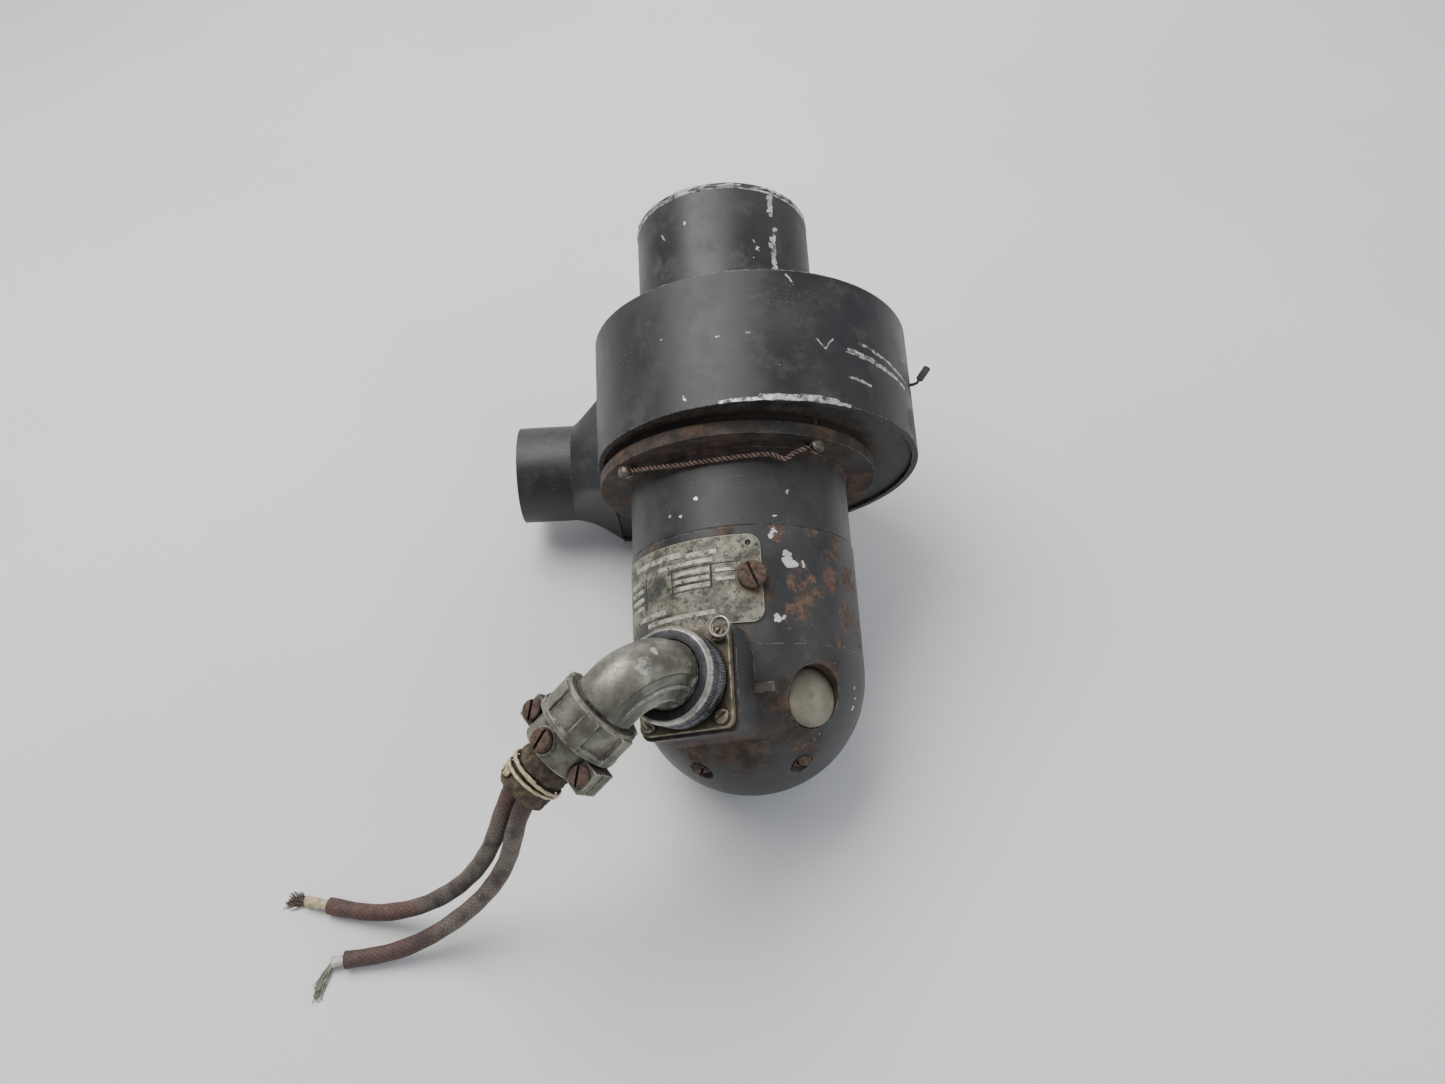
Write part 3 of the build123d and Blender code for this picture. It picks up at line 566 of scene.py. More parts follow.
def rusted_steel(name, light=(0.125, 0.078, 0.054), dark=(0.045, 0.029, 0.022), rest=(0.22, 0.18, 0.145)):
    s = Shader(name)
    cloud = s.noise(600, 6, 0.7)
    colour = s.mix(s.step(cloud, 0.35, 0.65), dark, light)
    worn = s.times(s.edges(0.0004), s.patches(0.45, 0.6, 900))
    colour = s.mix(worn, colour, rest)
    # painted shade: corners and gaps darkened to near black
    colour = s.mix(s.shade_in_corners(0.002), colour, (0.02, 0.012, 0.01))
    normal = s.bump(s.noise(1500, 5, 0.7), 0.55, 0.0004, s.soft_normal(0.0003))
    return s.finish(colour, s.blend(worn, 0.88, 0.5), s.times(worn, 0.6), normal, 0.4)


def soft_material(name, light, dark, scale, rough, bump_scale, bump_strength, bump_depth):
    """Rubber, plastic, phenolic or gasket: cloudy colour, painted shade in corners and a fine texture."""
    s = Shader(name)
    colour = s.mix(s.patches(0.36, 0.66, scale, 5, 0.62), dark, light)
    # painted shade: corners darkened to a third of the dark colour
    colour = s.mix(s.times(s.shade_in_corners(0.004), 0.8), colour, tuple(c * 0.3 for c in dark))
    normal = s.bump(s.noise(bump_scale, 5, 0.7), bump_strength, bump_depth, s.soft_normal(0.0003))
    roughness = s.blend(s.patches(0.35, 0.65, scale * 2, 3), rough - 0.1, rough)
    return s.finish(colour, roughness, 0, normal, 0.4)


def plate_face():
    """Dirty etched aluminium: cream where rubbed clean, dark blotches, rust round the screw."""
    s = Shader("nameplate_metal")
    colour = s.mix(s.patches(0.38, 0.62, 160, 6, 0.7), (0.075, 0.073, 0.055), (0.255, 0.245, 0.185))
    colour = s.mix(s.patches(0.5, 0.62, 520, 5, 0.75), colour, (0.04, 0.038, 0.03))
    dark = s.stains(on_pump([(38.6, 42, -16, 7), (38.6, 30, -29, 8), (38.6, 70, -25, 6)]))
    colour = s.mix(s.times(dark, 0.85), colour, (0.03, 0.031, 0.029))
    halo = s.stains(on_pump([(39, 91.8, -18.5, 8.5)]))
    colour = s.mix(halo, colour, (0.105, 0.062, 0.032))
    bright = s.times(s.edges(0.0005), 0.8)
    colour = s.mix(bright, colour, (0.44, 0.42, 0.33))
    normal = s.bump(s.noise(1300, 4), 0.3, 0.0002)
    return s.finish(colour, 0.55, 0.35, normal, 0.5)


def plate_panel():
    s = Shader("nameplate_panel")
    colour = s.mix(s.patches(0.36, 0.6, 260, 6, 0.7), (0.2, 0.19, 0.145), (0.5, 0.48, 0.39))
    colour = s.mix(s.patches(0.52, 0.62, 430, 6, 0.75), colour, (0.06, 0.056, 0.045))
    return s.finish(colour, 0.55, 0.25, s.bump(s.noise(1300, 4), 0.3, 0.0002), 0.5)


WEAVE_STRANDS = 11
WEAVE_PITCHES_PER_METRE = 504


def woven(name, ends, middle, dark):
    """A woven sleeve on a tube's own UVs: two crossing sets of strands, browner at both ends."""
    s = Shader(name)
    uv = s.node("ShaderNodeUVMap", {}, uv_map="PieceUV").outputs[0]
    parts = s.node("ShaderNodeSeparateXYZ", {0: uv})
    around = s.times(parts.outputs[0], 2 * math.pi * WEAVE_STRANDS)
    along = s.times(parts.outputs[1], 2 * math.pi * WEAVE_PITCHES_PER_METRE)
    first = s.math("SINE", s.math("ADD", around, along))
    second = s.math("SINE", s.math("SUBTRACT", around, along))
    weave = s.most(first, second)
    place = s.math("ADD", parts.outputs[1], s.times(s.noise(60, 4, 0.7), 0.02))
    grey = s.times(s.step(place, 0.022, 0.036), s.step(place, 0.098, 0.084))
    colour = s.mix(grey, ends, middle)
    colour = s.mix(s.patches(0.4, 0.66, 150, 6, 0.7), colour, dark)
    colour = s.mix(s.times(s.step(weave, 0.35, -0.6), 0.5), colour, tuple(c * 0.45 for c in dark))
    colour = s.mix(s.times(s.patches(0.64, 0.7, 650, 4), 0.3), colour, (0.28, 0.24, 0.19))
    normal = s.bump(weave, 0.35, 0.00014)
    return s.finish(colour, 0.68, 0, normal, 0.4)


# ---- marks of wear, (radius, angle, z, size) in the pump frame, mm and degrees ----
FRAME_RADIUS = 38
HOUSING_RADIUS = 37.6
TUBE_RADIUS = 32


def on_radius(radius, places):
    """(angle, z, size) places that share one radius."""
    return [(radius, *place) for place in places]


FRAME_CHIPS = on_radius(FRAME_RADIUS, [
    (103, -2.6, 1), (102, -4.4, 0.7), (109, -9.4, 1.2), (109.5, -12, 1.8), (113, -13.2, 1.3),
    (117, -12.8, 0.6), (102.6, -30.4, 1.2), (105.5, -30, 0.7),
])
FRAME_RUST = on_radius(FRAME_RADIUS, [
    (116, -17.5, 4.6), (120, -21.5, 4.4), (118, -26.5, 4.4), (134, -9.5, 4), (136, -17, 4.8),
    (141, -5, 3.6), (145, -27, 4.6), (138, -36, 4), (110, -29, 3.4), (104, -1.2, 3), (126, -1.4, 3),
    (235, -20, 8), (300, -12, 7), (152, -14, 5), (158, -30, 6),
])
FRAME_STAINS = [
    (38.6, 92, -21, 9), (38, 60, -33.5, 9), (38, 80, -0.5, 5), (38, 40, -0.5, 5),
]
HOUSING_CHIPS = on_radius(HOUSING_RADIUS, [
    (58, 5.9, 0.6), (51, 6.8, 0.5), (67, 10.4, 0.7), (112, 11.1, 0.5), (105, 2.6, 0.5), (230, 14, 1.2),
])
SCROLL_CHIPS = [
    (55.9, 100.6, 52.2, 0.6), (55.9, 100.4, 49, 0.5), (57.2, 118.6, 55.1, 0.7), (57.4, 121, 53.4, 0.4),
    (57.4, 123.5, 55.5, 0.6), (57, 115.2, 54.3, 0.5), (53.7, 72, 36.9, 0.7), (53.7, 64, 60, 0.4),
    (62, 160, 62, 0.8), (55.9, 101, 61, 0.5), (55.9, 97, 74, 0.4), (54, 72, 38.4, 0.4),
]
TUBE_CHIPS = on_radius(TUBE_RADIUS, [
    (121, 126, 0.9), (121.5, 123, 1.2), (121.5, 120.5, 0.9), (124.5, 113.5, 1), (121.5, 108.6, 1.3),
    (120, 106, 1), (121.5, 103, 0.9), (122, 100.2, 1.3), (121, 97, 1), (121.5, 94.5, 0.9), (110, 104, 0.5),
    (107, 100.5, 0.4), (64, 116, 0.6),
])
BELL_RUST = [
    (38, 28, -66, 6), (30, 45, -72, 6), (36, 250, -55, 8), (29, 120, -67, 4), (33, 100, -70, 5),
]
BELL_CHIPS = [
    (36.5, 150, -50, 0.8), (35.5, 152, -56, 0.9), (36.8, 153, -53, 0.7), (31, 140, -66, 0.6),
    (33.4, 146, -62, 0.6),
]
BELL_STAINS = [
    (33, 112, -62, 10), (35, 104, -54, 9), (36, 128, -46, 7), (30, 80, -70, 16), (30, 128, -70, 9),
    (34, 50, -66, 14),
]


def arc_scrape(first_angle, last_angle, z_start, z_end, half_width, radius_at=scroll_radius):
    """A scrape round the surface as short straight runs."""
    runs = max(1, round(abs(last_angle - first_angle) / 8))
    points = []
    for step in range(runs + 1):
        share = step / runs
        angle = first_angle + (last_angle - first_angle) * share
        points.append(PUMP @ spot(radius_at(angle), angle, z_start + (z_end - z_start) * share))
    return [(a, b, half_width) for a, b in zip(points, points[1:])]


def scroll_material():
    """The scroll's paint, rubbed to bare metal along its low rim and in long scrapes."""
    scrapes = []
    for arc in (
        (84, 126, 34, 33.9, 0.55), (97, 122, 34.9, 34.6, 0.75), (133, 160, 57.6, 53.6, 0.5),
        (128, 158, 54.2, 50.6, 0.6), (127, 150, 53, 51.2, 0.35), (127, 136, 44.2, 43.6, 0.5),
        (116, 119, 55.6, 52.8, 0.25), (119, 122, 52.8, 56.2, 0.25), (108, 110, 77.4, 74.6, 0.35),
        (84, 95, 56.6, 56.9, 0.2),
    ):
        scrapes += arc_scrape(*arc)
    return black_paint(
        "scroll_paint", chips=SCROLL_CHIPS, scrapes=scrapes, scratches=0.8, dust=0.4, bare_edges=0.85,
        stains=[(60, 165, 40, 9), (62, 170, 56, 9)],
    )


def tube_scrapes():
    """A broken band of lifted paint along the inlet tube and a few short nicks."""
    runs = []
    for first_angle, last_angle, z_start, z_end, half_width in (
        (121.5, 122.5, 92, 98, 0.9), (121, 122, 99, 105, 0.8), (122, 123, 106, 111, 0.7),
        (121.3, 122.3, 119, 127, 0.9), (108, 111, 107, 103, 0.25), (46, 49, 115.5, 113, 0.3),
    ):
        runs += arc_scrape(first_angle, last_angle, z_start, z_end, half_width, lambda angle: TUBE_RADIUS)
    return runs


# name, light and dark colour, and what differs from worn_metal's own values
METALS = {
    "connector": ("connector_metal", (0.245, 0.24, 0.19), (0.1, 0.096, 0.072), {"metallic": 0.55}),
    "flange": ("flange_metal", (0.32, 0.29, 0.2), (0.15, 0.13, 0.085), {"corner_shade": 0.9}),
    "ring": ("ring_metal", (0.085, 0.09, 0.1), (0.035, 0.038, 0.045), {"rough": (0.35, 0.5), "spots": 0.3}),
    "lip": (
        "worn_lip", (0.47, 0.455, 0.4), (0.2, 0.19, 0.16), {"metallic": 0.5, "corner_shade": 0.5, "spots": 0.45},
    ),
    "dull_screw": ("dull_screw", (0.2, 0.18, 0.13), (0.085, 0.072, 0.05), {"metallic": 0.6}),
    "steel": ("steel_metal", (0.45, 0.43, 0.38), (0.22, 0.2, 0.17), {"metallic": 0.9}),
    "bright": (
        "bright_steel", (0.62, 0.62, 0.61), (0.42, 0.42, 0.41), {"metallic": 1, "corner_shade": 0.4, "spots": 0.15},
    ),
    "iron": ("lamination_iron", (0.24, 0.23, 0.22), (0.12, 0.115, 0.11), {"metallic": 0.8}),
    "copper": ("copper_metal", (0.62, 0.3, 0.17), (0.42, 0.19, 0.11), {"metallic": 1, "spots": 0.2}),
    "brass": ("brass_metal", (0.58, 0.45, 0.2), (0.38, 0.28, 0.12), {"metallic": 1, "spots": 0.2}),
    "rim": (
        "bare_rim", (0.42, 0.42, 0.39), (0.045, 0.045, 0.043), {"grime_and_shade": (0.03, 0.03, 0.03), "metallic": 0.7},
    ),
}

# name, light and dark colour, cloud scale, roughness, then the fine texture's scale, strength and depth
SOFT_MATERIALS = {
    "cap": ("cap_plastic", (0.205, 0.185, 0.135), (0.135, 0.12, 0.082), 130, 0.66, 700, 0.25, 0.0002),
    "rubber": ("bushing_rubber", (0.125, 0.098, 0.058), (0.04, 0.031, 0.022), 420, 0.9, 750, 0.9, 0.0007),
    "gasket": ("gasket_rubber", (0.06, 0.04, 0.03), (0.025, 0.018, 0.014), 150, 0.85, 600, 0.3, 0.0003),
    "lacing": ("lacing_cord", (0.58, 0.5, 0.33), (0.34, 0.27, 0.16), 500, 0.85, 1800, 0.7, 0.0003),
    "phenolic": ("phenolic", (0.16, 0.085, 0.05), (0.09, 0.05, 0.03), 260, 0.5, 900, 0.2, 0.0002),
    "carbon": ("carbon", (0.06, 0.06, 0.06), (0.03, 0.03, 0.03), 400, 0.6, 1500, 0.3, 0.0002),
    "winding": ("varnished_winding", (0.38, 0.15, 0.06), (0.22, 0.08, 0.035), 500, 0.4, 900, 0.6, 0.0004),
    "ink": ("plate_lines", (0.03, 0.028, 0.022), (0.012, 0.011, 0.01), 300, 0.7, 900, 0.2, 0.0001),
    "yellowed": ("yellowed_insulation", (0.52, 0.44, 0.26), (0.33, 0.26, 0.14), 500, 0.6, 900, 0.3, 0.0002),
    "white": ("white_insulation", (0.62, 0.6, 0.54), (0.42, 0.4, 0.35), 500, 0.6, 900, 0.3, 0.0002),
    "dark_strand": ("dark_strand", (0.165, 0.115, 0.085), (0.055, 0.04, 0.032), 800, 0.6, 1500, 0.4, 0.0001),
    "green_strand": ("green_strand", (0.4, 0.38, 0.3), (0.2, 0.195, 0.15), 800, 0.55, 1500, 0.4, 0.0001),
}


def make_paints():
    return {
        "scroll": scroll_material(),
        "tube": black_paint(
            "tube_paint", chips=TUBE_CHIPS, scrapes=tube_scrapes(), dust=0.55, bare_edges=1
        ),
        "duct": black_paint("duct_paint", dust=0.45),
        "housing": black_paint(
            "housing_paint", chips=HOUSING_CHIPS, brown_from=24.5, dust=0.25, bare_edges=0.35
        ),
        "frame": black_paint(
            "frame_paint", chips=FRAME_CHIPS, rust=FRAME_RUST, stains=FRAME_STAINS, rust_share=0.35,
            bare_edges=0.25,
        ),
        "bell": black_paint(
            "bell_paint", chips=BELL_CHIPS, rust=BELL_RUST, stains=BELL_STAINS, rust_share=0.3, bare_edges=0.5
        ),
    }


def make_materials():
    materials = make_paints()
    for key, (name, light, dark, options) in METALS.items():
        materials[key] = worn_metal(name, light, dark, **options)
    for key, values in SOFT_MATERIALS.items():
        materials[key] = soft_material(*values)
    materials["elbow"] = elbow_metal()
    materials["plate"] = plate_face()
    materials["panel"] = plate_panel()
    materials["rust"] = rusted_steel("rusted_steel")
    materials["copper_wire"] = rusted_steel(
        "tarnished_copper", (0.26, 0.17, 0.135), (0.08, 0.055, 0.045), (0.42, 0.33, 0.28)
    )
    for key, name, ends, middle, dark in (
        ("braid_1", "braid_brown", (0.12, 0.06, 0.048), (0.125, 0.105, 0.08), (0.048, 0.034, 0.03)),
        ("braid_2", "braid_grey", (0.095, 0.055, 0.045), (0.14, 0.118, 0.092), (0.055, 0.038, 0.034)),
    ):
        materials[key] = woven(name, ends, middle, dark)
    return materials


MATERIALS = make_materials()

NODE_FINISH = {
    "scroll": ["scroll_band", "scroll_back_plate"],
    "tube": ["inlet_cover"],
    "duct": ["outlet_duct", "box_lug"],
    "housing": ["front_housing"],
    "frame": ["motor_frame"],
    "bell": ["end_bell"],
    "ink": ["scroll_tab"],
    "dull_screw": ["flange_screws"],
    "gasket": ["flange_gasket", "receptacle_gasket", "shaft_seal"],
    "rust": ["end_bell_screws", "pole_screws", "clamp_screws"],
    "flange": ["receptacle", "receptacle_screws"],
    "connector": ["plug_shell", "elbow_backshell", "backshell_nut", "cable_clamp_base", "cable_clamp_saddle"],
    "ring": ["coupling_ring"],
    "steel": [
        "shaft", "bearing_retainer", "preload_washer", "impeller_key", "impeller_washer", "impeller_nut",
        "safety_wires",
    ],
    "bright": ["bearing_inner_rings", "bearing_outer_rings", "bearing_balls", "impeller"],
    "iron": ["armature_core", "field_poles"],
    "winding": ["armature_windings", "field_coils"],
    "copper": ["commutator_bars"],
    "brass": ["bearing_cages", "brush_spring_1", "brush_spring_2", "contact_pins"],
    "phenolic": ["commutator_sleeve", "brush_holders", "receptacle_insert", "plug_insert"],
    "carbon": ["brush_1", "brush_2"],
    "cap": ["brush_caps"],
    "rubber": ["cable_bushing"],
    "lacing": ["lacing_tie"],
    "copper_wire": ["lock_wire"],
    "plate": ["nameplate"],
}


def paint_nodes():
    for finish, names in NODE_FINISH.items():
        for name in names:
            mesh = frame["nodes"][name].data
            mesh.materials.clear()
            mesh.materials.append(MATERIALS[finish])


paint_nodes()

# ---- the two wires: sleeve, inner insulation and frayed strands ----
WIRE_DIAMETER = 0.0055
WIRE_1_ROUTE = [
    (-0.056, -0.1023, 0.0755), (-0.0626, -0.1061, 0.0705), (-0.0666, -0.1086, 0.0625),
    (-0.07, -0.1103, 0.053), (-0.0739, -0.1116, 0.043), (-0.08, -0.1127, 0.0315),
    (-0.0888, -0.1136, 0.0204), (-0.1008, -0.1141, 0.011), (-0.1135, -0.1133, 0.0056),
    (-0.1245, -0.111, 0.0033), (-0.133, -0.1085, 0.00295),
]
WIRE_2_ROUTE = [
    (-0.0527, -0.1073, 0.075), (-0.0589, -0.1108, 0.0703), (-0.0626, -0.113, 0.0625),
    (-0.0653, -0.1144, 0.0535), (-0.0684, -0.1156, 0.043), (-0.0742, -0.1171, 0.031),
    (-0.0823, -0.1191, 0.0203), (-0.0935, -0.122, 0.011), (-0.105, -0.1246, 0.0054),
    (-0.1158, -0.126, 0.0033), (-0.1248, -0.1264, 0.00295),
]


def sleeve_radius(along, angle):
    """A nearly round woven sleeve with slight swellings."""
    swelling = 0.02 * math.sin(along * 290) + 0.02 * math.sin(along * 613 + 2 * angle)
    return WIRE_DIAMETER / 2 * (0.97 + swelling)


STRAND_RADIUS = 0.00013
STRAND_COUNT = 46


def curled_strand(start, direction, across, reach, drift, curl, seed):
    """Points of one loose copper strand lying near the floor."""
    points = []
    steps = 12
    for step in range(steps + 1):
        t = step / steps
        wander = noise.noise_vector(Vector((seed * 3.7, t * 1.6, 0.5))) * curl * t
        point = start + direction * reach * t + across * drift * t ** 1.6 + wander
        point.z = max(STRAND_RADIUS + 0.0003, start.z * (1 - t) ** 1.5 + abs(wander.z) * 0.8)
        points.append(point)
    return points


def make_strands(name, foot, ahead, across, reach, drift, material):
    """A fan of loose strands from the cut end of a wire."""
    verts = []
    faces = []
    for index in range(STRAND_COUNT):
        share = (index + 0.5) / STRAND_COUNT
        turn = index * 2.4
        offset = turned(across, Vector((0, 0, 1)), turn) * 0.0012 * math.sqrt(share)
        length = reach * (0.62 + 0.38 * math.sin(index * 1.9) ** 2)
        fan = drift + 0.0026 * math.sin(index * 5.3)
        points = curled_strand(foot - ahead * 0.001 + offset, ahead, across, length, fan, 0.0022, index)
        tube, quads, _ = tube_along(points, lambda along, angle: STRAND_RADIUS, 6)
        join_part(verts, faces, tube, quads)
    return add_piece(name, verts, faces, material)


def make_wire(number, route, sleeve, insulation, strand, bare_length, reach, drift):
    """One wire: woven sleeve, bared insulation that drops to the floor, and strands."""
    node = f"wire_{number}"
    line = points_on(spline_curve(f"{node}_route", route))
    points = resampled(line, 0.0009)
    verts, faces, uvs = tube_along(points, sleeve_radius, 40)
    piece = add_piece(f"{node}_sleeve", verts, faces, sleeve, uvs=uvs, replaces=[node])
    end = points[-1]
    ahead = (points[-1] - points[-5]).normalized()
    across = Vector((-ahead.y, ahead.x, 0)).normalized()
    level = Vector((ahead.x, ahead.y, 0)).normalized()
    foot = end + level * bare_length
    foot.z = 0.0022
    bared = [end - ahead * 0.003, end, end.lerp(foot, 0.5), foot]
    inner_line = points_on(spline_curve(f"{node}_inner", bared))
    verts, faces, uvs = tube_along(resampled(inner_line, 0.0004), insulation_radius, 28)
    inner = add_piece(
        f"{node}_inner", verts, faces, insulation, uvs=uvs, replaces=[f"{node}_bare_end"]
    )
    strands = make_strands(f"{node}_strands", foot, level, across, reach, drift, strand)


def insulation_radius(along, angle):
    """Inner insulation, squeezed and a little ragged."""
    return 0.00165 + 0.00022 * math.sin(along * 1300 + 2 * angle) * math.sin(along * 700)


make_wire(1, WIRE_1_ROUTE, "braid_1", "yellowed", "dark_strand", 0.0085, 0.008, 0)
make_wire(2, WIRE_2_ROUTE, "braid_2", "white", "green_strand", 0.0042, 0.006, 0.008)


# ---- lock wire: two strands twisted together ----
def make_lock_wire():
    z, spacing, pitch, off_centre, thickness = 24.5, 0.00016, 0.0031, 0.00042, 0.0004
    route = [
        spot(44.5, 36.9, z), spot(42.5, 47, z - 1.4), spot(40, 62, z - 2.4), spot(39.2, 80, z - 2.6),
        spot(40, 97, z - 2), spot(41.2, 105, z - 2.2), spot(42.2, 109.5, z - 4.6),
        spot(43.2, 113.5, z - 1.6), spot(44.6, 119.1, z - 0.2),
    ]
    line = points_on(spline_curve("lock_wire_route", [PUMP @ point for point in route]))
    points = resampled(line, spacing)
    frames = frames_along(points)
    verts = []
    faces = []
    for phase in (0, math.pi):
        strand = []
        for index, (_, normal, side) in enumerate(frames):
            turn = index * spacing / pitch * 2 * math.pi + phase
            strand.append(points[index] + turned(normal, side, turn) * off_centre)
        tube, quads, _ = tube_along(strand, lambda along, angle: thickness, 10)
        join_part(verts, faces, tube, quads)
    add_piece("lock_wire_twist", verts, faces, "copper_wire", replaces=["lock_wire"])


make_lock_wire()


# ---- knurled coupling ring ----
def make_coupling_ring():
    profile = rounded([
        (10.2, 60.4), (13.3, 60.4), (14.3, 59.2), (14.3, 56.2), (13.4, 55.7), (13.4, 54.4), (14.25, 53.9),
        (14.25, 50.6), (13.6, 49.9), (12.15, 49.9), (12.15, 58.9), (10.2, 58.9),
    ], 0.35)
    ridges = 96

    def knurl(radius, z, angle, index):
        cut = 0
        if radius > 14 and (56 < z < 59.4 or 50.5 < z < 54):
            cut = 0.34 * max(0, math.sin(angle * ridges)) ** 0.7
        return radius - cut, z

    segments = ridges * 6
    verts, faces = lathe(profile, segments, knurl)
    lip = []
    for (r1, z1), (r2, z2) in zip(profile, profile[1:] + profile[:1]):
        lip.append(int(min(z1, z2) > 59 and min(r1, r2) > 12.9))
    marks = [lip[face // segments] for face in range(len(faces))]
    add_piece(
        "coupling_ring_knurled", verts, faces, ["ring", "lip"], PLUG, face_materials=marks, body="ring",
        replaces=["coupling_ring"],
    )


make_coupling_ring()


# ---- elbow backshell with lengthways flutes ----
FLUTE_ANGLES = (66, 94, 122)
FLUTE_HALF_WIDTH = 11
FLUTE_DEPTH = 1.35


def make_elbow():
    """Smooth over the outside of the bend, three shallow flutes on each side of it."""
    bend, top, radius, tail = ELBOW_BEND, ELBOW_TOP, 9.6, 4
    line = [Vector((0, 0, z)) for z in (60.6, 61, 61.4, 62.2, 63)]
    steps = 36
    for step in range(steps + 1):
        turn = math.pi / 2 * step / steps
        line.append(Vector((bend * (1 - math.cos(turn)), 0, top - bend + bend * math.sin(turn))))
    line += [Vector((bend + x, 0, top)) for x in (1, 2, 3, tail)]
    segments = 160
    verts = []
    for index, point in enumerate(line):
        before = line[max(index - 1, 0)]
        after = line[min(index + 1, len(line) - 1)]
        ahead = (after - before).normalized()
        side = Vector((0, 1, 0))
        out = ahead.cross(side).normalized()
        middle = math.sin(math.pi * index / (len(line) - 1)) ** 0.35
        collar = 0.35 if index < 3 else 0
        for step in range(segments):
            angle = 2 * math.pi * step / segments
            from_outside = abs(math.degrees(math.atan2(math.sin(angle), -math.cos(angle))))
            flute = 0
            for centre in FLUTE_ANGLES:
                flute = max(flute, 1 - ((from_outside - centre) / FLUTE_HALF_WIDTH) ** 4)
            depth = FLUTE_DEPTH * max(0, flute) ** 0.5 * middle
            r = radius + collar - depth
            verts.append(point + turned(out, side, angle) * r)
    faces = grid_faces(len(line), segments, wrap_columns=True) + end_caps(len(line), segments)
    add_piece(
        "elbow_fluted", verts, faces, "elbow", ELBOW, replaces=["elbow_backshell"]
    )


make_elbow()


# ---- ragged cable bushing and its lacing ----
def make_bushing():
    profile = [(0.05, 25.8), (6.9, 25.8)] + [(7.6, 26.2 + 0.28 * step) for step in range(81)]
    profile += [(7.2, 48.9), (5.5, 48.8), (3.5, 48.6), (0.05, 48.5)]

    def ragged(radius, z, angle, index):
        if radius < 1:
            return radius, z
        place = ring_point(2.2, angle, z * 0.42)
        rough = noise.noise(place) * 0.55 + noise.noise(place * 4.5) * 0.28
        squeeze = 0.45 if 40.6 < z < 44.4 else 0
        frayed = noise.noise(place * 7) * 0.5 if z > 46.5 else 0
        return min(radius + rough - squeeze, 8.2), z + frayed * 0.5

    verts, faces = lathe(profile, 128, ragged)
    add_piece(
        "bushing_wrapped", verts, faces, "rubber", CABLE, replaces=["cable_bushing"]
    )


def make_lacing():
    """Waxed cord wound two and a half turns, with a short end laid along the bushing."""
    turns, steps, winding_radius, start_height, rise = 2.6, 150, 8.15, 40.9, 3
    points = []
    for step in range(steps + 1):
        share = step / steps
        angle = 2 * math.pi * turns * share + 0.9
        height = start_height + rise * share + 0.8 * math.sin(angle * 0.5)
        points.append(CABLE @ ring_point(winding_radius, angle, height))

    def waxed(along, angle):
        return (0.52 + 0.07 * math.sin(angle * 2 + along * 5200)) * MM

    verts, faces, _ = tube_along(points, waxed, 16)
    for index in range(5):
        angle = 1.9 + index * 0.16
        height = 44.4 + 0.5 * math.sin(index * 2)
        flake = [
            CABLE @ ring_point(r, angle + a, height + z)
            for r in (7.7, 8.25) for a, z in ((-0.09, 0), (0.09, 0.2), (0.07, 2.6), (-0.07, 2.1))
        ]
        quads = ((0, 3, 2, 1), (4, 5, 6, 7), (0, 1, 5, 4), (1, 2, 6, 5), (2, 3, 7, 6), (3, 0, 4, 7))
        join_part(verts, faces, flake, quads)
    add_piece("lacing_wound", verts, faces, "lacing", replaces=["lacing_tie"])


make_bushing()
make_lacing()


# ---- nameplate panels, brush caps and springs, inlet rim and tab ----
BRUSH_PLACE = -53.5
BRUSH_ANGLES = (121, 301)


def curved_patch(radius_low, radius_high, first, last, z_low, z_high):
    """A thin block that follows the motor frame, in the pump frame."""
    columns = max(2, round(abs(last - first) / 2) + 1)
    verts = []
    for radius in (radius_low, radius_high):
        for z in (z_low, z_high):
            for column in range(columns):
                verts.append(spot(radius, first + (last - first) * column / (columns - 1), z))
    a, b, c, d = (index * columns for index in range(4))
    faces = []
    for i in range(columns - 1):
        faces.append((c + i, c + i + 1, d + i + 1, d + i))
        faces.append((a + i, b + i, b + i + 1, a + i + 1))
        faces.append((a + i, a + i + 1, c + i + 1, c + i))
        faces.append((b + i, d + i, d + i + 1, b + i + 1))
    faces.append((a, c, d, b))
    last_column = columns - 1
    faces.append((a + last_column, b + last_column, d + last_column, c + last_column))
    return verts, faces


PLATE_PANELS = [
    (24, 58, -8.2, -6.4), (61, 76, -8.8, -7.4), (44, 74, -11.2, -9.9), (16, 30, -12.6, -11.3),
    (54, 72, -14.2, -12.9), (16, 31, -15.4, -14.2), (54, 72, -16.6, -15.4), (17, 31, -18.3, -17),
    (54, 72, -18.9, -17.7), (17, 31, -21, -19.9), (75, 84, -15, -13.8), (75, 84, -17.6, -16.5),
    (26, 48, -25.3, -23.7), (34, 74, -28, -26.6),
]
PLATE_LINES = [
    (52.5, 86, -12.2, -11.9), (52.5, 86, -15, -14.8), (52.5, 73, -17.3, -17.1), (52.5, 73, -19.5, -19.3),
    (15, 33, -13.7, -13.5), (15, 33, -16.4, -16.2), (15, 33, -19.2, -19), (24, 50, -26, -25.8),
    (72.6, 73.4, -19.5, -11.9), (33, 33.6, -21.5, -11.3), (52, 52.6, -19.5, -11.9),
]


def make_plate_marks():
    """Blank windows and ruled lines where the maker's words would be."""
    for name, boxes, lift, material in (
        ("nameplate_windows", PLATE_PANELS, 0.05, "panel"), ("nameplate_lines", PLATE_LINES, 0.06, "ink"),
    ):
        verts = []
        faces = []
        for first, last, z_low, z_high in boxes:
            join_part(verts, faces, *curved_patch(38.5, 38.6 + lift, first, last, z_low, z_high))
        add_piece(name, verts, faces, material, PUMP, smooth=False)


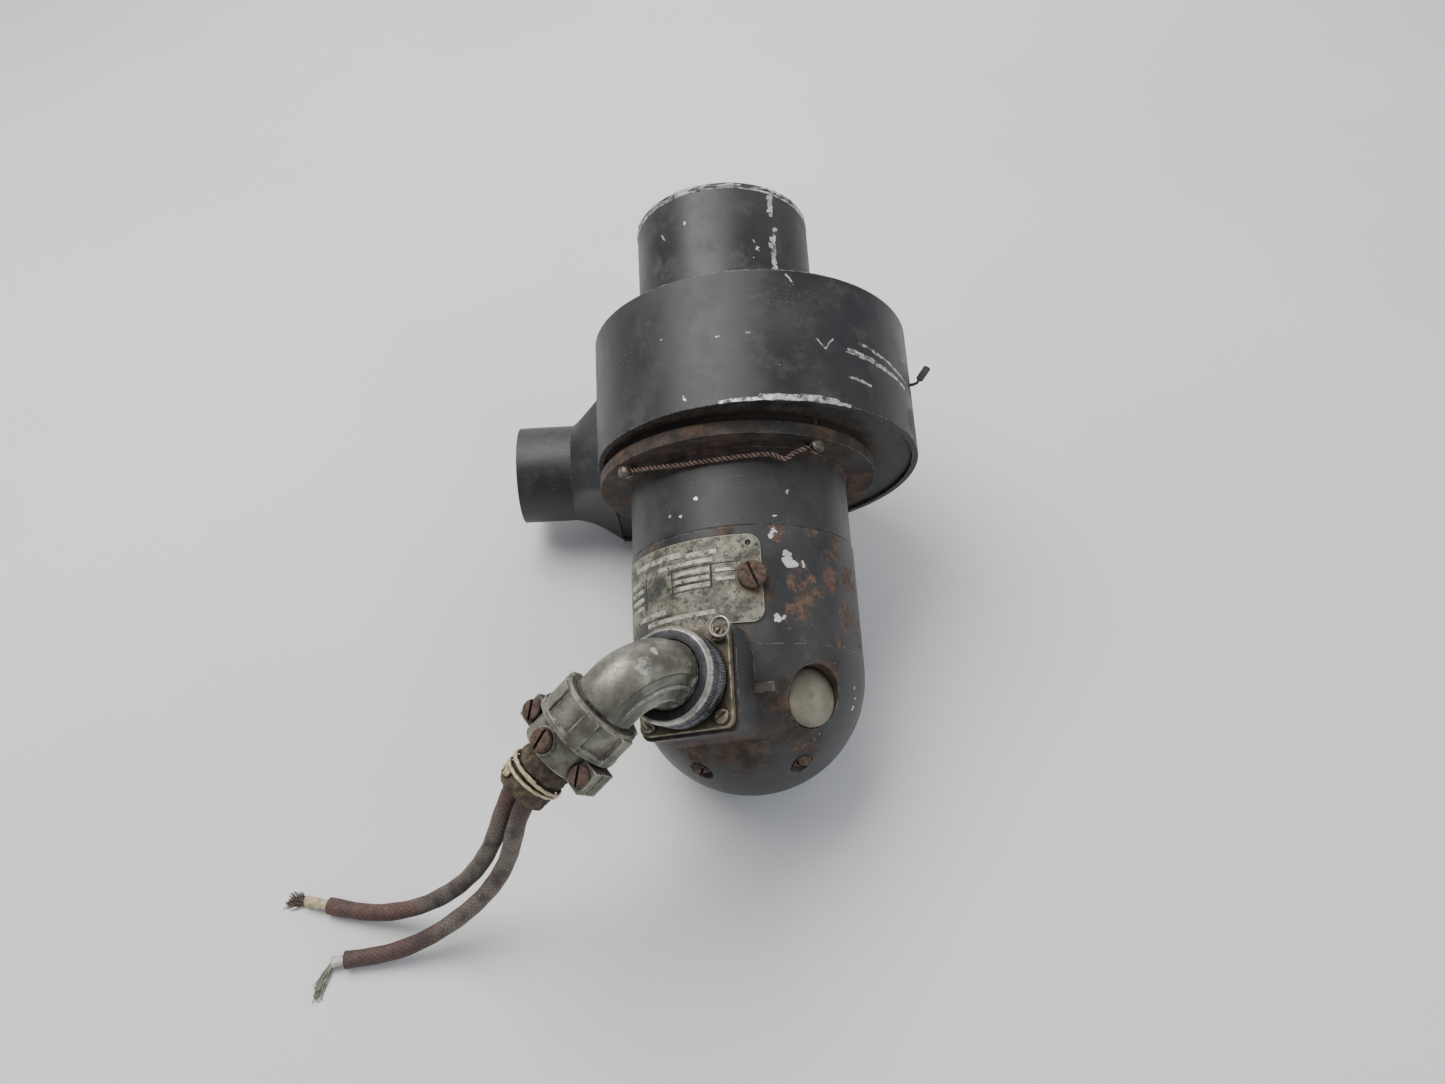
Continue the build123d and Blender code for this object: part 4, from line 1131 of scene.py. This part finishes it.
def make_brush_caps():
    """Moulded caps with a rounded edge and a slightly crowned face."""
    for number, angle in enumerate(BRUSH_ANGLES, start=1):
        outward = spot(1, angle)
        along = Vector((0, 0, 1))
        local = Matrix((along, along.cross(outward), outward)).transposed().to_4x4()
        local.translation = along * BRUSH_PLACE
        profile = [(0.02, 27), (4.4, 27), (4.4, 30.7), (9.15, 30.7), (9.2, 32.6), (8.9, 33.3)]
        profile += [(8.2, 33.75), (6, 33.95), (3, 34.1), (0.02, 34.15)]
        verts, faces = lathe(profile, 72)
        name = f"brush_cap_{number}"
        add_piece(name, verts, faces, "cap", PUMP @ local, replaces=["brush_caps"])


def make_brush_springs():
    """Coil springs behind the brushes, each with a mesh of its own."""
    turns, wire_radius, coil_radius, inner_end, outer_end = 5, 0.25, 1.9, 21.8, 26
    for number, angle in enumerate(BRUSH_ANGLES, start=1):
        outward = spot(1, angle)
        along = Vector((0, 0, 1))
        side = along.cross(outward)
        points = []
        steps = turns * 28
        for step in range(steps + 1):
            turn = 2 * math.pi * turns * step / steps
            radial = inner_end + (outer_end - inner_end) * step / steps
            across = turned(along, side, turn) * coil_radius
            points.append(PUMP @ (outward * radial + across + along * BRUSH_PLACE))
        verts, faces, _ = tube_along(points, lambda along_wire, around: wire_radius * MM, 10)
        spring = f"brush_spring_{number}"
        piece = add_piece(f"brush_coil_{number}", verts, faces, "brass", replaces=[spring])
        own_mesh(piece)


def make_inlet_rim():
    """The cut end of the inlet tube: bare, bent over and burred."""
    segments = 360
    profile = [(32.05, 127.6), (32.1, 129), (32, 129.9), (31.2, 130.05), (30.4, 129.8), (30.35, 127.6)]

    def burred(radius, z, angle, index):
        if z < 128:
            return radius, z
        rough = noise.noise(ring_point(9, angle, index * 0.7))
        spike = max(0, noise.noise(ring_point(24, angle, 4)) - 0.35)
        return radius + rough * 0.35, z - 0.25 + rough * 0.45 + spike * 2.2

    verts, faces = lathe(profile, segments, burred)
    add_piece("inlet_rim", verts, faces, "rim", PUMP)


def make_scroll_tab():
    """A short stem and a small flat strip bent towards the inlet."""
    outward = spot(1, 168)
    foot = spot(scroll_radius(168), 168, 56.7)
    along = Vector((0, 0, 1))
    lean = (outward * 0.62 + along * 0.78).normalized()
    side = outward.cross(along)
    flat = lean.cross(side).normalized()
    knee = foot + outward * 2.6 + along * 0.4
    stem = [foot - outward * 0.5, foot + outward * 1.2, knee, knee + lean * 1.6]
    points = [PUMP @ point for point in stem]
    verts, faces, _ = tube_along(points, lambda along_tube, angle: 0.55 * MM, 12)
    corners = []
    for reach, half_width in ((1.2, 0.8), (1.6, 1.25), (6.6, 1.25), (7, 0.9)):
        for lift in (-0.35, 0.35):
            for edge in (-half_width, half_width):
                corners.append(PUMP @ (knee + lean * reach + side * lift + flat * edge))
    quads = []
    for a in (0, 4, 8):
        for i, j in ((0, 1), (1, 3), (3, 2), (2, 0)):
            quads.append((a + i, a + j, a + 4 + j, a + 4 + i))
    quads += [(0, 2, 3, 1), (12, 13, 15, 14)]
    join_part(verts, faces, corners, quads)
    add_piece(
        "scroll_tab_bent", verts, faces, "ink", replaces=["scroll_tab"], smooth=False
    )


make_scroll_tab()
make_plate_marks()
make_brush_caps()
make_brush_springs()
make_inlet_rim()


# ---- floor and lights ----
def make_floor():
    mesh = bpy.data.meshes.new("floor")
    size = 3
    corners = [(-size, -size, 0), (size, -size, 0), (size, size, 0), (-size, size, 0)]
    mesh.from_pydata(corners, [], [(0, 1, 2, 3)])
    s = Shader("floor_paper")
    shade = s.mix(s.patches(0.3, 0.7, 4, 3), (0.7, 0.7, 0.69), (0.74, 0.74, 0.73))
    mesh.materials.append(s.finish(shade, 0.8))
    show("floor", mesh)


def area_light(name, place, target, size, power, colour=(1, 1, 1)):
    light = bpy.data.lights.new(name, "AREA")
    light.shape = "RECTANGLE"
    light.size, light.size_y = size
    light.energy = power
    light.color = colour
    direction = Vector(target) - Vector(place)
    turned = direction.to_track_quat("-Z", "Y").to_matrix().to_4x4()
    show(name, light).matrix_world = Matrix.Translation(place) @ turned


def make_light():
    world = bpy.data.worlds.new("studio")
    world.use_nodes = True
    background = world.node_tree.nodes["Background"].inputs
    background[0].default_value = (0.86, 0.9, 1, 1)
    background[1].default_value = 0.5
    bpy.context.scene.world = world
    aim = (0, 0, 0.05)
    area_light("key_light", (-0.35, 0.25, 0.95), aim, (0.9, 0.7), 13, (1, 0.98, 0.95))
    area_light("fill_light", (0.8, -0.5, 0.6), aim, (0.8, 0.8), 3.5, (0.93, 0.96, 1))
    area_light("back_light", (0.2, 0.9, 0.5), aim, (0.8, 0.5), 3)


make_floor()
make_light()
